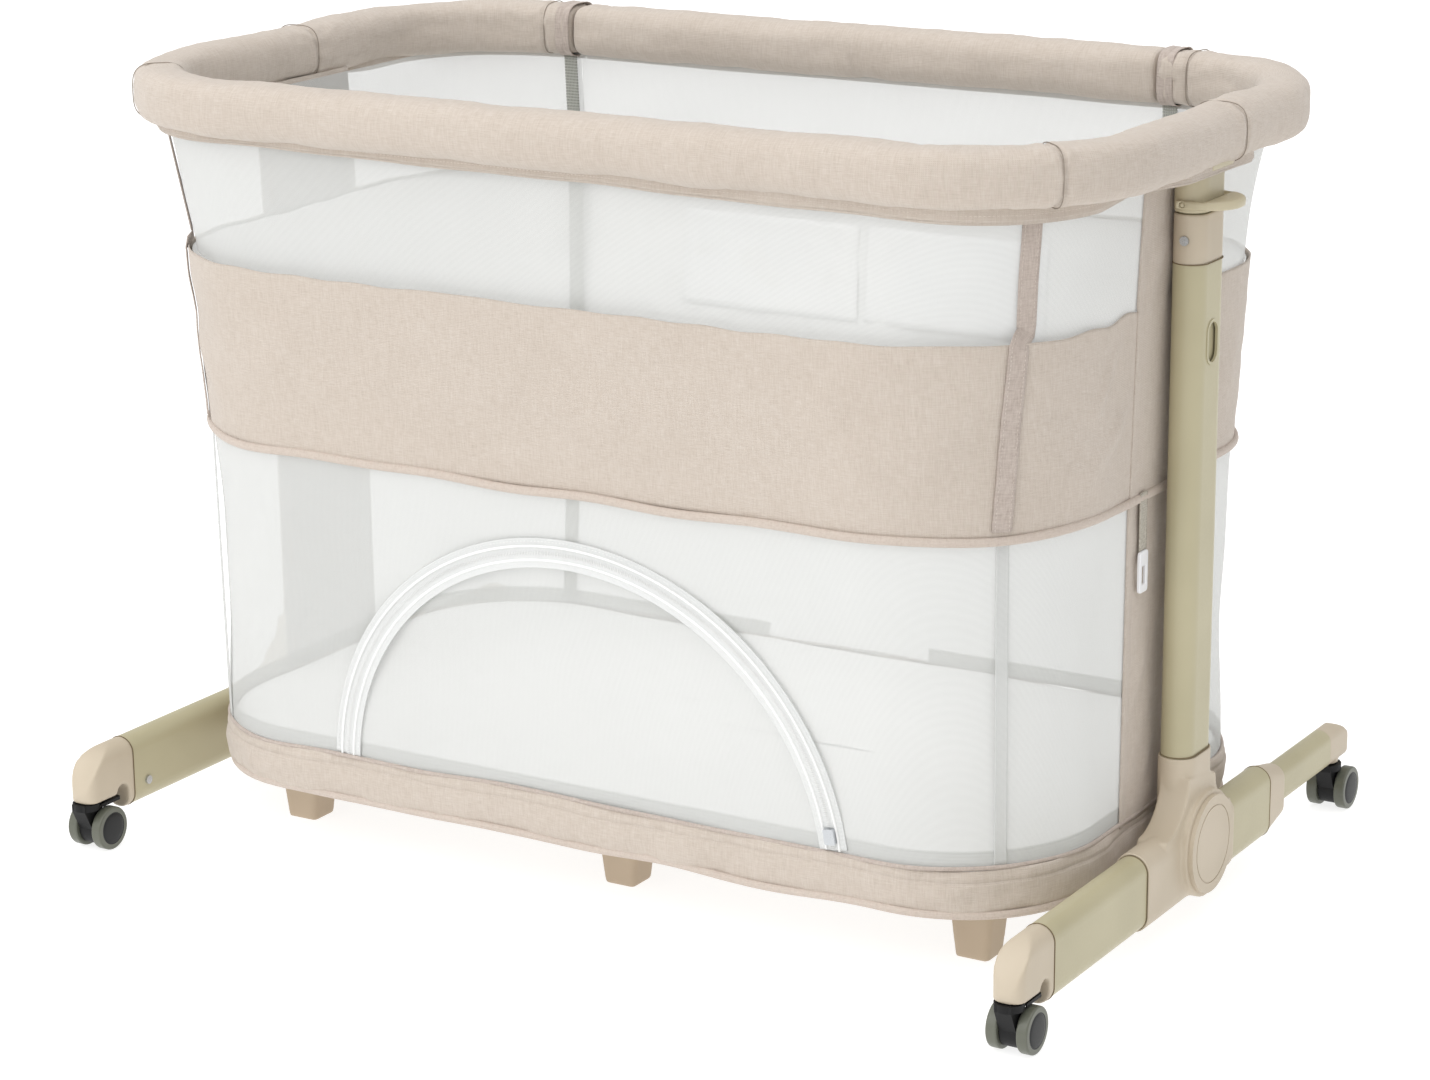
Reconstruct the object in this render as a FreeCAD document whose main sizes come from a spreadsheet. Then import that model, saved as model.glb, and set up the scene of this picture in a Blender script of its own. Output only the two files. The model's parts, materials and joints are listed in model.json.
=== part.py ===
# Bedside sleeper crib: a fabric basket on two telescopic posts with castored feet.
# Millimetres, +Z up, +X to the right, -Y to the front; the origin is on the floor,
# in the middle of the footprint. Each size stands once, in the sheet below.
import FreeCAD, Part
import Sketcher
import math
import os
import re

Vector = FreeCAD.Vector
doc = FreeCAD.newDocument("bedside_crib")
sheet = doc.addObject("Spreadsheet::Sheet", "dims")

driving_sizes = [
    # stand posts
    ("post_x", 464, "post centre from the middle"),
    ("post_long", 56, "oval post, front to back"),
    ("post_thick", 30, "oval post, across"),
    ("post_wall", 1.6, "outer post tube wall"),
    ("post_seat", 4, "lower end of the post tube above the foot tube"),
    ("sleeve_tall", 42, "plastic sleeve above the post tube"),
    ("sleeve_grip", 40, "spigot of the sleeve inside the tube"),
    ("spigot_wall", 1.4, "wall of that spigot"),
    ("slide_gap", 0.3, "running gap of every sliding tube"),
    ("window_drop", 68, "middle of the height window below the tube's top"),
    ("window_long", 34, "height window, up and down"),
    ("window_wide", 18, "height window, across"),
    ("window_rim", 2.5, "width of the rim round the window"),
    ("rim_proud", 0.8, "how far that rim stands out"),
    ("sleeve_screw_rise", 20, "screw in the front of each sleeve above the tube's top"),
    # foot tubes
    ("foot_shift", 4, "foot tube centre outside the post centre"),
    ("foot_thick", 28, "oval foot tube, across"),
    ("foot_tall", 66, "oval foot tube, up and down"),
    ("foot_wall", 1.6, "foot tube wall"),
    ("foot_rear", 150, "rear end of the foot tube from the post line"),
    ("plug_long", 30, "plugs of cap and collar inside the foot tube"),
    ("foot_screw_in", 19, "foot screw behind the front end of the tube"),
    ("foot_screw_rise", 21, "foot screw above the underside of the tube"),
    # hub housing
    ("hub_wall", 2, "hub wall round the tubes"),
    ("hub_rise", 61, "hub's post socket above the foot tube"),
    ("hub_front", 111, "front lip of the hub"),
    ("hub_rear", 67, "rear lip of the hub"),
    ("hub_curve_front", 44, "front curve between post and foot"),
    ("hub_curve_rear", 34, "rear curve between post and foot"),
    ("disc_radius", 47, "round boss on the outside of the hub"),
    ("disc_rise", 13, "middle of that boss above the middle of the foot tube"),
    ("disc_reach", 21, "boss face from the foot tube centre"),
    ("cap_inset", 4, "rim of the boss round its cover"),
    ("cap_thick", 4, "thickness of that cover"),
    ("cap_line", 34, "radius of the fine line in the cover"),
    ("line_wide", 1.2, "width of that line"),
    ("line_deep", 0.6, "depth of that line"),
    ("bar_dia", 24, "crossbar"),
    ("bar_wall", 1.5, "crossbar wall"),
    ("bar_drop", 5, "gap between the crossbar and the base"),
    ("socket_deep", 12, "crossbar socket in the hub"),
    ("socket_wall", 4, "wall of that socket"),
    # front foot caps
    ("tip_over", 9, "front tip in front of the caster stem"),
    ("tip_round", 11, "rounding of the tip seen from above"),
    ("cap_behind", 52, "front cap behind the caster stem"),
    ("nose_radius", 44, "rounding of the tip seen from the side"),
    ("notch_behind", 28, "front of the notch behind the caster stem"),
    ("notch_long", 16, "notch, front to back"),
    ("notch_radius", 8.5, "rounding of that notch"),
    # rear extensions
    ("collar_long", 37, "collar between the foot tube and its extension"),
    ("collar_wall", 2, "collar wall at its narrow end"),
    ("collar_drop", 9, "narrow end of the collar below the extension tube"),
    ("ext_thick", 22, "extension tube, across"),
    ("ext_tall", 37, "extension tube, up and down"),
    ("ext_drop", 8.5, "gap above the extension tube inside the foot tube"),
    ("ext_wall", 1.5, "extension tube wall"),
    ("ext_inner", 50, "inner end of the extension tube"),
    ("rear_cap_front", 22, "rear cap in front of the caster stem"),
    ("rear_cap_over", 27, "rear cap behind the caster stem"),
    ("rear_cap_grip", 13, "plug of the rear cap inside the tube"),
    ("rear_nose", 30, "rounding of the rear tip, above"),
    ("rear_chin", 6, "rounding of the rear tip, below"),
    ("rear_round", 9, "rounding of the rear tip seen from above"),
    # casters
    ("stem_front", 337, "front caster stem from the post line"),
    ("stem_rear", 321, "rear caster stem from the post line"),
    ("stem_dia", 8, "caster stem"),
    ("stem_low", 30, "lower end of the stem"),
    ("stem_grip", 22, "stem inside the cap"),
    ("stem_room", 1, "room above the stem"),
    ("stem_gap", 0.05, "running gap round stem, axle and pins"),
    ("trail", 14, "wheel centre behind the stem"),
    ("wheel_radius", 20, "twin wheel"),
    ("tyre_deep", 5, "depth of the tyre"),
    ("tyre_round", 1.6, "rounded tyre edge"),
    ("wheel_inner", 8.5, "inner face of each wheel from the middle"),
    ("wheel_outer", 18.5, "outer face of each wheel from the middle"),
    ("dish_deep", 1.2, "dish in the wheel face"),
    ("dish_rim", 1, "flat rim round that dish"),
    ("axle_dia", 5, "wheel axle"),
    ("hood_thick", 15, "caster body between the wheels"),
    ("hood_radius", 16.5, "round part of the caster body"),
    ("hood_gap", 0.5, "gap between the caster body and the cap above"),
    ("collar_dia", 25, "round top of the caster body"),
    ("collar_tall", 6.2, "height of that round top"),
    ("neck_in", 1, "neck of the caster body inside the round top"),
    ("pedal_y", 9, "brake pedal pivot behind the stem"),
    ("pedal_clear", 1.5, "gap between brake pedal and tyres"),
    ("pedal_space", 2.5, "gap between brake pedal and cap"),
    ("pedal_gap", 0.4, "gap between brake pedal and caster body"),
    ("pedal_pin", 3, "brake pedal pin"),
    ("pedal_wide", 25, "brake pedal, across"),
    ("pedal_thick", 3, "brake pedal, up and down"),
    ("pedal_tip", 34, "brake pedal tip behind the stem"),
    # basket frame
    ("rail_shift", 6, "rail centre line outside the post centre"),
    ("rail_y", 272, "rail centre line, half width"),
    ("rail_corner", 142, "rail centre line, corner radius"),
    ("rail_z", 683, "rail centre height"),
    ("rail_dia", 22, "rail tube"),
    ("rail_wall", 1.5, "rail tube wall"),
    ("pad_wide", 49, "padded rail, across"),
    ("pad_tall", 50, "padded rail, up and down"),
    ("pad_round", 15, "padded rail, corner rounding"),
    ("pad_crown", 60, "padded rail, radius of each crowned side"),
    ("side_break", 310, "end of the drop side from the middle"),
    ("break_gap", 0.3, "gap at each end of the drop side"),
    ("inner_wall", 1.5, "inner post tube wall"),
    ("tube_overlap", 250, "inner post tube inside the outer one"),
    ("head_tall", 35.2, "head between the sleeve and the padded rail"),
    ("head_cover", 7.7, "head above the top of the inner tube"),
    ("head_gap", 0.5, "gap between sleeve and head"),
    ("saddle_long", 44, "rail saddle, front to back"),
    ("saddle_thick", 30, "rail saddle, across"),
    ("paddle_rise", 7.5, "middle of the release paddle above the head's underside"),
    ("paddle_thick", 8, "release paddle, up and down"),
    ("ear_wall", 3.1, "ears of the paddle beside the head"),
    ("paddle_reach", 7, "straight part of the paddle from the post centre"),
    ("paddle_back", 8, "rear end of its ears from the post centre"),
    ("paddle_pin", 5, "paddle pivot pin"),
    ("paddle_pin_x", 2, "pivot inside the post centre"),
    ("paddle_space", 1.6, "gap between paddle and head face"),
    ("ear_gap", 0.4, "gap between paddle ears and head"),
    # fabric walls
    ("cloth", 2, "thickness of the fabric walls"),
    ("cloth_gap", 0.3, "gap between layers of fabric"),
    ("post_clear", 2, "mesh under the rail inside the post"),
    ("mesh_top_in", 4, "mesh under the rail inside the rail's centre line, front"),
    ("mesh_top_corner", 105, "mesh under the rail, corner"),
    ("band_top", 547, "upper edge of the linen band"),
    ("band_top_in", 3, "linen band at its upper edge inside that mesh, ends"),
    ("band_top_out", 14, "linen band at its upper edge outside the rail's centre line, front"),
    ("band_top_corner", 158, "linen band at its upper edge, corner"),
    ("band_low", 387, "lower edge of the linen band"),
    ("band_low_in", 4, "linen band, drawn in from its upper to its lower edge, ends"),
    ("band_low_front", 11, "linen band, drawn in from its upper to its lower edge, front"),
    ("band_low_corner", 165, "linen band at its lower edge, corner"),
    ("pocket", 9, "how far the band stands off the mesh at the top"),
    ("base_top", 104, "top of the base band"),
    ("base_low", 62, "underside of the base"),
    ("base_in", 4, "base band inside the linen band's lower edge, ends"),
    ("base_front", 28, "base band inside the linen band's lower edge, front"),
    ("base_corner", 130, "base band corner radius"),
    ("base_bulge", 4, "bulge of the base band at mid height"),
    ("board_thick", 12, "base board"),
    ("mattress_crown", 6, "crown of the mattress"),
    ("mattress_round", 8, "rounded shoulder of the mattress"),
    ("panel_half", 72, "linen end panel, half width"),
    ("panel_thick", 1.6, "linen end panel thickness"),
    ("hinge_rise", 1.5, "drop side fold line above the band"),
    # base feet
    ("leg_x", 350, "outer base feet from the middle"),
    ("leg_y", 157, "base feet from the post line"),
    ("leg_bottom", 32, "base foot at the floor"),
    ("leg_top", 44, "base foot at the base"),
    ("leg_round", 3, "half width of a base foot for each unit of its corner radius"),
    # zip door
    ("arch_x", 12, "middle of the zip arch"),
    ("arch_rise", 2, "feet of the zip arch above the base band"),
    ("arch_sink", 22, "centre of the zip arch below the top of the base band"),
    ("arch_drop", 44, "zip tape below the linen band"),
    ("tape_wide", 26, "zip tape width"),
    ("tape_thick", 1.2, "zip tape thickness"),
    ("slider_long", 14, "zip slider along the tape"),
    ("slider_wide", 10, "zip slider across the tape"),
    ("slider_thick", 4, "zip slider thickness"),
    ("slider_turn", 1.4, "zip slider turned in from the foot of the arch, degrees"),
    # strap with clip beside the right post
    ("strap_y", 50, "strap in front of the post line"),
    ("strap_wide", 12, "webbing width"),
    ("strap_thick", 1.5, "webbing thickness"),
    ("strap_long", 46, "webbing below the band"),
    ("clip_long", 36, "clip length"),
    ("clip_wide", 16, "clip width"),
    ("clip_thick", 3, "clip thickness"),
    ("clip_round", 3.2, "rounded corners of the clip"),
    ("clip_slot_long", 16, "slot in the clip"),
    ("clip_slot_wide", 7, "slot in the clip"),
    # screws
    ("screw_head", 8, "screw head"),
    ("screw_head_tall", 2, "height of the head"),
    ("screw_shank", 4, "screw shank"),
    ("screw_bite", 7, "foot screw inside the tube"),
    ("head_seat", 1.2, "flat seat sunk into the sleeve"),
]

# Places that follow from the sizes above, each written once.
worked_out = {
    # casters carry the feet
    "pedal_z": "2 * wheel_radius + pedal_clear + pedal_thick / 2",
    "lip_z": "pedal_z + pedal_thick / 2 + pedal_space",
    "hood_top": "lip_z - hood_gap",
    "stem_high": "lip_z + stem_grip",
    "ext_low": "lip_z",
    "ext_mid": "ext_low + ext_tall / 2",
    "foot_top": "ext_low + ext_tall + ext_drop + foot_wall",
    "foot_low": "foot_top - foot_tall",
    "foot_mid": "foot_top - foot_tall / 2",
    # along the feet, from the post line
    "front_tip": "stem_front + tip_over",
    "foot_front": "stem_front - cap_behind",
    "notch_front": "stem_front - notch_behind",
    "notch_rear": "notch_front - notch_long",
    "foot_screw_y": "foot_front - foot_screw_in",
    "foot_screw_z": "foot_low + foot_screw_rise",
    "collar_end": "foot_rear + collar_long",
    "rear_cap_start": "stem_rear - rear_cap_front",
    "rear_cap_tip": "stem_rear + rear_cap_over",
    # hubs and posts
    "foot_x": "post_x + foot_shift",
    "hub_top": "foot_top + hub_rise",
    "post_foot": "foot_top + post_seat",
    "disc_z": "foot_mid + disc_rise",
    "cap_radius": "disc_radius - cap_inset",
    "bar_z": "base_low - bar_drop - bar_dia / 2",
    "pad_under": "rail_z - pad_tall / 2 - cloth_gap",
    "head_foot": "pad_under - head_tall",
    "sleeve_top": "head_foot - head_gap",
    "post_top": "sleeve_top - sleeve_tall",
    "window_z": "post_top - window_drop",
    "sleeve_screw_z": "post_top + sleeve_screw_rise",
    "inner_low": "post_top - tube_overlap",
    "head_tube": "pad_under - head_cover",
    "paddle_z": "head_foot + paddle_rise",
    "paddle_half": "post_long / 2 + ear_gap + ear_wall",
    # oval sections of the sliding post
    "cavity_long": "post_long / 2 - post_wall",
    "cavity_thick": "post_thick / 2 - post_wall",
    "slide_long": "cavity_long - spigot_wall",
    "slide_thick": "cavity_thick - spigot_wall",
    "tube_long": "slide_long - slide_gap",
    "tube_thick": "slide_thick - slide_gap",
    # basket, half lengths and half widths
    "rail_x": "post_x + rail_shift",
    "mesh_top_x": "post_x - post_thick / 2 - post_clear",
    "mesh_top_y": "rail_y - mesh_top_in",
    "band_top_x": "mesh_top_x - band_top_in",
    "band_top_y": "rail_y + band_top_out",
    "band_low_x": "band_top_x - band_low_in",
    "band_low_y": "band_top_y - band_low_front",
    "base_x": "band_low_x - base_in",
    "base_y": "band_low_y - base_front",
    "arch_z": "base_top - arch_sink",
}

for row, (alias, value, note) in enumerate(driving_sizes, 1):
    sheet.set("A%d" % row, note)
    sheet.set("B%d" % row, str(value))
    sheet.setAlias("B%d" % row, alias)
doc.recompute()
aliases = {alias for alias, value, note in driving_sizes}


def bound(expression):
    """The expression with each size name pointed at the sheet."""
    def point(word):
        name = word.group()
        if name in worked_out:
            return "(%s)" % bound(worked_out[name])
        return "dims." + name if name in aliases else name
    return re.sub(r"[a-z_]+", point, expression)


def number(expression):
    """The value of an expression of sheet sizes."""
    return float(sheet.evalExpression(bound(expression)))


# The floor's middle lies between the front tips and the rear wheels.
to_post_line = "(front_tip - stem_rear - trail - wheel_radius) / 2"
post_line = number(to_post_line)
parts = []


# ---- sketch helpers -------------------------------------------------------------------------

def new_body(label, x="0", z="0", y="0"):
    body = doc.addObject("PartDesign::Body", label)
    body.Label = label
    body.setExpression("Placement.Base.x", bound(x))
    body.setExpression("Placement.Base.y", bound("%s + %s" % (to_post_line, y)))
    body.setExpression("Placement.Base.z", bound(z))
    parts.append(body)
    return body


def new_sketch(body, role, offset="0"):
    sketch = body.newObject("Sketcher::SketchObject", body.Label + "_sketch")
    plane = [feature for feature in body.Origin.OriginFeatures if feature.Role == role][0]
    sketch.AttachmentSupport = [(plane, "")]
    sketch.MapMode = "FlatFace"
    sketch.setExpression("AttachmentOffset.Base.z", bound(offset))
    return sketch


def fix_radius(sketch, item, radius):
    index = sketch.addConstraint(Sketcher.Constraint("Radius", item, number(radius)))
    sketch.setExpression("Constraints[%d]" % index, bound(radius))


def fix_point(sketch, item, end, u, v):
    """Hold one point of a line, arc or circle at (u, v), both expressions of sheet sizes."""
    for axis, kind, expression in ((-2, "DistanceX", u), (-1, "DistanceY", v)):
        if expression == "0":
            sketch.addConstraint(Sketcher.Constraint("PointOnObject", item, end, axis))
            continue
        index = sketch.addConstraint(Sketcher.Constraint(kind, -1, 1, item, end, number(expression)))
        sketch.setExpression("Constraints[%d]" % index, bound(expression))


def draw_circle(sketch, u, v, radius):
    centre = Vector(number(u), number(v), 0)
    item = sketch.addGeometry(Part.Circle(centre, Vector(0, 0, 1), number(radius)), False)
    fix_radius(sketch, item, radius)
    fix_point(sketch, item, 3, u, v)


def draw_oval(sketch, u, v, half, radius):
    """Upright oval: two half circles of one radius joined by straight sides, 2 x half tall."""
    rise = "(%s) - (%s)" % (half, radius)
    middle = Vector(number(u), number(v), 0)
    lift = Vector(0, number(rise), 0)
    side = Vector(number(radius), 0, 0)
    up = Vector(0, 0, 1)
    upper = Part.ArcOfCircle(Part.Circle(middle + lift, up, side.x), 0, math.pi)
    lower = Part.ArcOfCircle(Part.Circle(middle - lift, up, side.x), math.pi, 2 * math.pi)
    left = Part.LineSegment(middle + lift - side, middle - lift - side)
    right = Part.LineSegment(middle - lift + side, middle + lift + side)
    items = [sketch.addGeometry(curve, False) for curve in (upper, left, lower, right)]
    for first, second in zip(items, items[1:] + items[:1]):
        sketch.addConstraint(Sketcher.Constraint("Tangent", first, 2, second, 1))
    sketch.addConstraint(Sketcher.Constraint("Equal", items[0], items[2]))
    sketch.addConstraint(Sketcher.Constraint("Vertical", items[1]))
    fix_radius(sketch, items[0], radius)
    fix_point(sketch, items[0], 3, u, "(%s) + (%s)" % (v, rise))
    index = sketch.addConstraint(Sketcher.Constraint("DistanceY", items[2], 3, items[0], 3,
                                                     number("2 * (%s)" % rise)))
    sketch.setExpression("Constraints[%d]" % index, bound("2 * (%s)" % rise))


def draw_outline(sketch, corners):
    """Closed outline. A corner is (u, v), or (u, v, radius, turn) where the stretch that ends
    there is an arc, turning left for turn = 1 and right for turn = -1."""
    items = []
    for index, corner in enumerate(corners):
        before = corners[index - 1]
        start = Vector(number(before[0]), number(before[1]), 0)
        end = Vector(number(corner[0]), number(corner[1]), 0)
        if len(corner) == 2:
            items.append((sketch.addGeometry(Part.LineSegment(start, end), False), 1, 2))
            continue
        radius = number(corner[2])
        turn = corner[3]
        chord = end - start
        height = math.sqrt(max(radius ** 2 - (chord.Length / 2) ** 2, 0))
        left = Vector(-chord.y, chord.x, 0).normalize()
        centre = (start + end) * 0.5 + left * (height * turn)
        first, last = (start, end) if turn > 0 else (end, start)
        angles = [math.atan2(point.y - centre.y, point.x - centre.x) for point in (first, last)]
        if angles[1] < angles[0]:
            angles[1] += 2 * math.pi
        arc = Part.ArcOfCircle(Part.Circle(centre, Vector(0, 0, 1), radius), angles[0], angles[1])
        item = sketch.addGeometry(arc, False)
        fix_radius(sketch, item, corner[2])
        items.append((item, 1, 2) if turn > 0 else (item, 2, 1))
    for index, (item, begin, finish) in enumerate(items):
        following = items[(index + 1) % len(items)]
        sketch.addConstraint(Sketcher.Constraint("Coincident", item, finish, following[0], following[1]))
        fix_point(sketch, item, finish, corners[index][0], corners[index][1])


def add_feature(body, kind, sketch, length=None, flip=False, both=False):
    """Pad or Pocket of one sketch: flip turns it round, both makes it symmetric,
    and no length means right through."""
    feature = body.newObject("PartDesign::" + kind, "%s_%s" % (body.Label, kind.lower()))
    feature.Profile = sketch
    sketch.Visibility = False
    if both:
        feature.SideType = "Symmetric"
    if length is None:
        feature.Type = "ThroughAll"
    else:
        feature.setExpression("Length", bound(length))
    feature.Reversed = flip
    return feature


def signed(side, expression):
    """The expression on the right side, its negative on the left side."""
    return expression if side > 0 else "-(%s)" % expression


def soft_feature(label, shape):
    """A sub-part whose shape is worked out from the sheet, placed at the post line."""
    feature = doc.addObject("Part::Feature", label)
    feature.Label = label
    feature.Shape = shape
    at_post_line = FreeCAD.Placement(Vector(0, post_line, 0), FreeCAD.Rotation())
    feature.Placement = at_post_line.multiply(shape.Placement)
    parts.append(feature)
    return feature


# ---- stand ----------------------------------------------------------------------------------

def make_post_tube(name, side):
    body = new_body(name + "_post_tube", x=signed(side, "post_x"))
    tube = new_sketch(body, "XY_Plane", "post_foot")
    draw_oval(tube, "0", "0", "post_long / 2", "post_thick / 2")
    add_feature(body, "Pad", tube, "post_top - post_foot")
    rim = new_sketch(body, "YZ_Plane", signed(side, "post_thick / 2 - post_wall"))
    draw_oval(rim, "0", "window_z", "window_long / 2 + window_rim", "window_wide / 2 + window_rim")
    add_feature(body, "Pad", rim, "post_wall + rim_proud", flip=side < 0)
    hollow = new_sketch(body, "XY_Plane", "post_top")
    draw_oval(hollow, "0", "0", "cavity_long", "cavity_thick")
    add_feature(body, "Pocket", hollow)
    window = new_sketch(body, "YZ_Plane")
    draw_oval(window, "0", "window_z", "window_long / 2", "window_wide / 2")
    add_feature(body, "Pocket", window, flip=side > 0)


def make_post_sleeve(name, side):
    body = new_body(name + "_post_sleeve", x=signed(side, "post_x"))
    outer = new_sketch(body, "XY_Plane", "post_top")
    draw_oval(outer, "0", "0", "post_long / 2", "post_thick / 2")
    add_feature(body, "Pad", outer, "sleeve_tall")
    spigot = new_sketch(body, "XY_Plane", "post_top")
    draw_oval(spigot, "0", "0", "cavity_long", "cavity_thick")
    add_feature(body, "Pad", spigot, "sleeve_grip", flip=True)
    bore = new_sketch(body, "XY_Plane", "sleeve_top")
    draw_oval(bore, "0", "0", "slide_long", "slide_thick")
    add_feature(body, "Pocket", bore)
    seat = new_sketch(body, "XZ_Plane", "post_long / 2 - head_seat")
    draw_circle(seat, "0", "sleeve_screw_z", "screw_head / 2")
    add_feature(body, "Pocket", seat, flip=True)
    hole = new_sketch(body, "XZ_Plane")
    draw_circle(hole, "0", "sleeve_screw_z", "screw_shank / 2")
    add_feature(body, "Pocket", hole, flip=True)


def make_hub_housing(name, side):
    body = new_body(name + "_hub_housing", x=signed(side, "foot_x"))
    shoulder = "foot_top + hub_wall / 2"
    post_u = signed(side, "post_x - foot_x")
    lying = new_sketch(body, "XZ_Plane", "hub_front")
    draw_oval(lying, "0", "foot_mid", "foot_tall / 2 + hub_wall", "foot_thick / 2 + hub_wall")
    add_feature(body, "Pad", lying, "hub_front + hub_rear", flip=True)
    standing = new_sketch(body, "XY_Plane", "foot_mid")
    draw_oval(standing, post_u, "0", "post_long / 2 + hub_wall", "post_thick / 2 + hub_wall")
    add_feature(body, "Pad", standing, "hub_top - foot_mid")
    web = new_sketch(body, "YZ_Plane")
    draw_outline(web, [
        ("-post_long / 2 - hub_curve_front", "foot_mid"),
        ("post_long / 2 + hub_curve_rear", "foot_mid"),
        ("post_long / 2 + hub_curve_rear", shoulder),
        ("post_long / 2", shoulder + " + hub_curve_rear", "hub_curve_rear", -1),
        ("-post_long / 2", shoulder + " + hub_curve_front"),
        ("-post_long / 2 - hub_curve_front", shoulder, "hub_curve_front", -1)])
    add_feature(body, "Pad", web, "foot_thick", both=True)
    disc = new_sketch(body, "YZ_Plane")
    draw_circle(disc, "0", "disc_z", "disc_radius")
    add_feature(body, "Pad", disc, "disc_reach", flip=side < 0)
    boss = new_sketch(body, "YZ_Plane")
    draw_circle(boss, "0", "bar_z", "bar_dia / 2 + socket_wall")
    add_feature(body, "Pad", boss, "foot_thick / 2 + hub_wall + socket_deep", flip=side > 0)
    foot_bore = new_sketch(body, "XZ_Plane")
    draw_oval(foot_bore, "0", "foot_mid", "foot_tall / 2", "foot_thick / 2")
    add_feature(body, "Pocket", foot_bore, both=True)
    post_bore = new_sketch(body, "XY_Plane", "hub_top")
    draw_oval(post_bore, post_u, "0", "post_long / 2", "post_thick / 2")
    add_feature(body, "Pocket", post_bore, "hub_top - post_foot")
    socket = new_sketch(body, "YZ_Plane", signed(side, "-foot_thick / 2 - hub_wall"))
    draw_circle(socket, "0", "bar_z", "bar_dia / 2")
    add_feature(body, "Pocket", socket, flip=side < 0)


def make_hub_cap(name, side):
    body = new_body(name + "_hub_cap", x=signed(side, "foot_x + disc_reach"))
    disc = new_sketch(body, "YZ_Plane")
    draw_circle(disc, "0", "disc_z", "cap_radius")
    add_feature(body, "Pad", disc, "cap_thick", flip=side < 0)
    line = new_sketch(body, "YZ_Plane", signed(side, "cap_thick - line_deep"))
    draw_circle(line, "0", "disc_z", "cap_line + line_wide / 2")
    draw_circle(line, "0", "disc_z", "cap_line - line_wide / 2")
    add_feature(body, "Pocket", line, flip=side > 0)


def make_foot_tube(name, side):
    body = new_body(name + "_foot_tube", x=signed(side, "foot_x"))
    tube = new_sketch(body, "XZ_Plane", "foot_front")
    draw_oval(tube, "0", "foot_mid", "foot_tall / 2", "foot_thick / 2")
    add_feature(body, "Pad", tube, "foot_front + foot_rear", flip=True)
    hollow = new_sketch(body, "XZ_Plane")
    draw_oval(hollow, "0", "foot_mid", "foot_tall / 2 - foot_wall", "foot_thick / 2 - foot_wall")
    add_feature(body, "Pocket", hollow, both=True)
    hole = new_sketch(body, "YZ_Plane")
    draw_circle(hole, "-foot_screw_y", "foot_screw_z", "screw_shank / 2")
    add_feature(body, "Pocket", hole, flip=side < 0)


def round_tip(body, tip, half, radius, way):
    """Round both upright edges of a foot's end at tip along Y; way is 1 where the end faces +Y."""
    back = "%s %s %s" % (tip, "-" if way > 0 else "+", radius)
    beyond = "%s %s %s" % (tip, "+" if way > 0 else "-", radius)
    for edge in (-1, 1):
        inner = signed(edge, "%s - %s" % (half, radius))
        outer = signed(edge, "2 * (%s)" % half)
        corner = new_sketch(body, "XY_Plane")
        draw_outline(corner, [
            (inner, beyond),
            (inner, tip),
            (signed(edge, half), back, radius, -edge * way),
            (outer, back),
            (outer, beyond)])
        add_feature(body, "Pocket", corner, both=True)


def make_front_cap(name, side):
    body = new_body(name + "_front_foot_cap", x=signed(side, "foot_x"))
    block = new_sketch(body, "XZ_Plane", "foot_front")
    draw_oval(block, "0", "foot_mid", "foot_tall / 2", "foot_thick / 2")
    add_feature(body, "Pad", block, "front_tip - foot_front")
    plug = new_sketch(body, "XZ_Plane", "foot_front")
    draw_oval(plug, "0", "foot_mid", "foot_tall / 2 - foot_wall", "foot_thick / 2 - foot_wall")
    add_feature(body, "Pad", plug, "plug_long", flip=True)
    under = new_sketch(body, "YZ_Plane")
    draw_outline(under, [
        ("-front_tip - foot_low", "0"),
        ("-notch_rear", "0"),
        ("-notch_rear", "lip_z + hub_wall"),
        ("-notch_front", "lip_z + hub_wall", "notch_radius", 1),
        ("-notch_front", "lip_z"),
        ("-front_tip - foot_low", "lip_z")])
    add_feature(body, "Pocket", under, both=True)
    nose = new_sketch(body, "YZ_Plane")
    draw_outline(nose, [
        ("-front_tip - foot_low", "foot_top - nose_radius"),
        ("-front_tip", "foot_top - nose_radius"),
        ("-front_tip + nose_radius", "foot_top", "nose_radius", -1),
        ("-front_tip + nose_radius", "foot_top + foot_low"),
        ("-front_tip - foot_low", "foot_top + foot_low")])
    add_feature(body, "Pocket", nose, both=True)
    round_tip(body, "-front_tip", "foot_thick / 2", "tip_round", -1)
    bore = new_sketch(body, "XY_Plane", "lip_z")
    draw_circle(bore, "0", "-stem_front", "stem_dia / 2 + stem_gap")
    add_feature(body, "Pocket", bore, "stem_grip + stem_room", flip=True)
    hole = new_sketch(body, "YZ_Plane")
    draw_circle(hole, "-foot_screw_y", "foot_screw_z", "screw_shank / 2")
    add_feature(body, "Pocket", hole, flip=side < 0)


def make_collar(name, side):
    body = new_body(name + "_foot_collar", x=signed(side, "foot_x"))
    wide = new_sketch(body, "XZ_Plane", "-foot_rear")
    draw_oval(wide, "0", "foot_mid", "foot_tall / 2", "foot_thick / 2")
    narrow = new_sketch(body, "XZ_Plane", "-collar_end")
    draw_oval(narrow, "0", "ext_mid - collar_drop / 2", "(ext_tall + collar_drop) / 2 + collar_wall",
              "ext_thick / 2 + collar_wall")
    taper = body.newObject("PartDesign::AdditiveLoft", body.Label + "_taper")
    taper.Profile = wide
    taper.Sections = [narrow]
    taper.Ruled = True
    plug = new_sketch(body, "XZ_Plane", "-foot_rear")
    draw_oval(plug, "0", "foot_mid", "foot_tall / 2 - foot_wall", "foot_thick / 2 - foot_wall")
    add_feature(body, "Pad", plug, "plug_long")
    bore = new_sketch(body, "XZ_Plane")
    draw_oval(bore, "0", "ext_mid", "ext_tall / 2 + slide_gap", "ext_thick / 2 + slide_gap")
    add_feature(body, "Pocket", bore, both=True)


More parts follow.
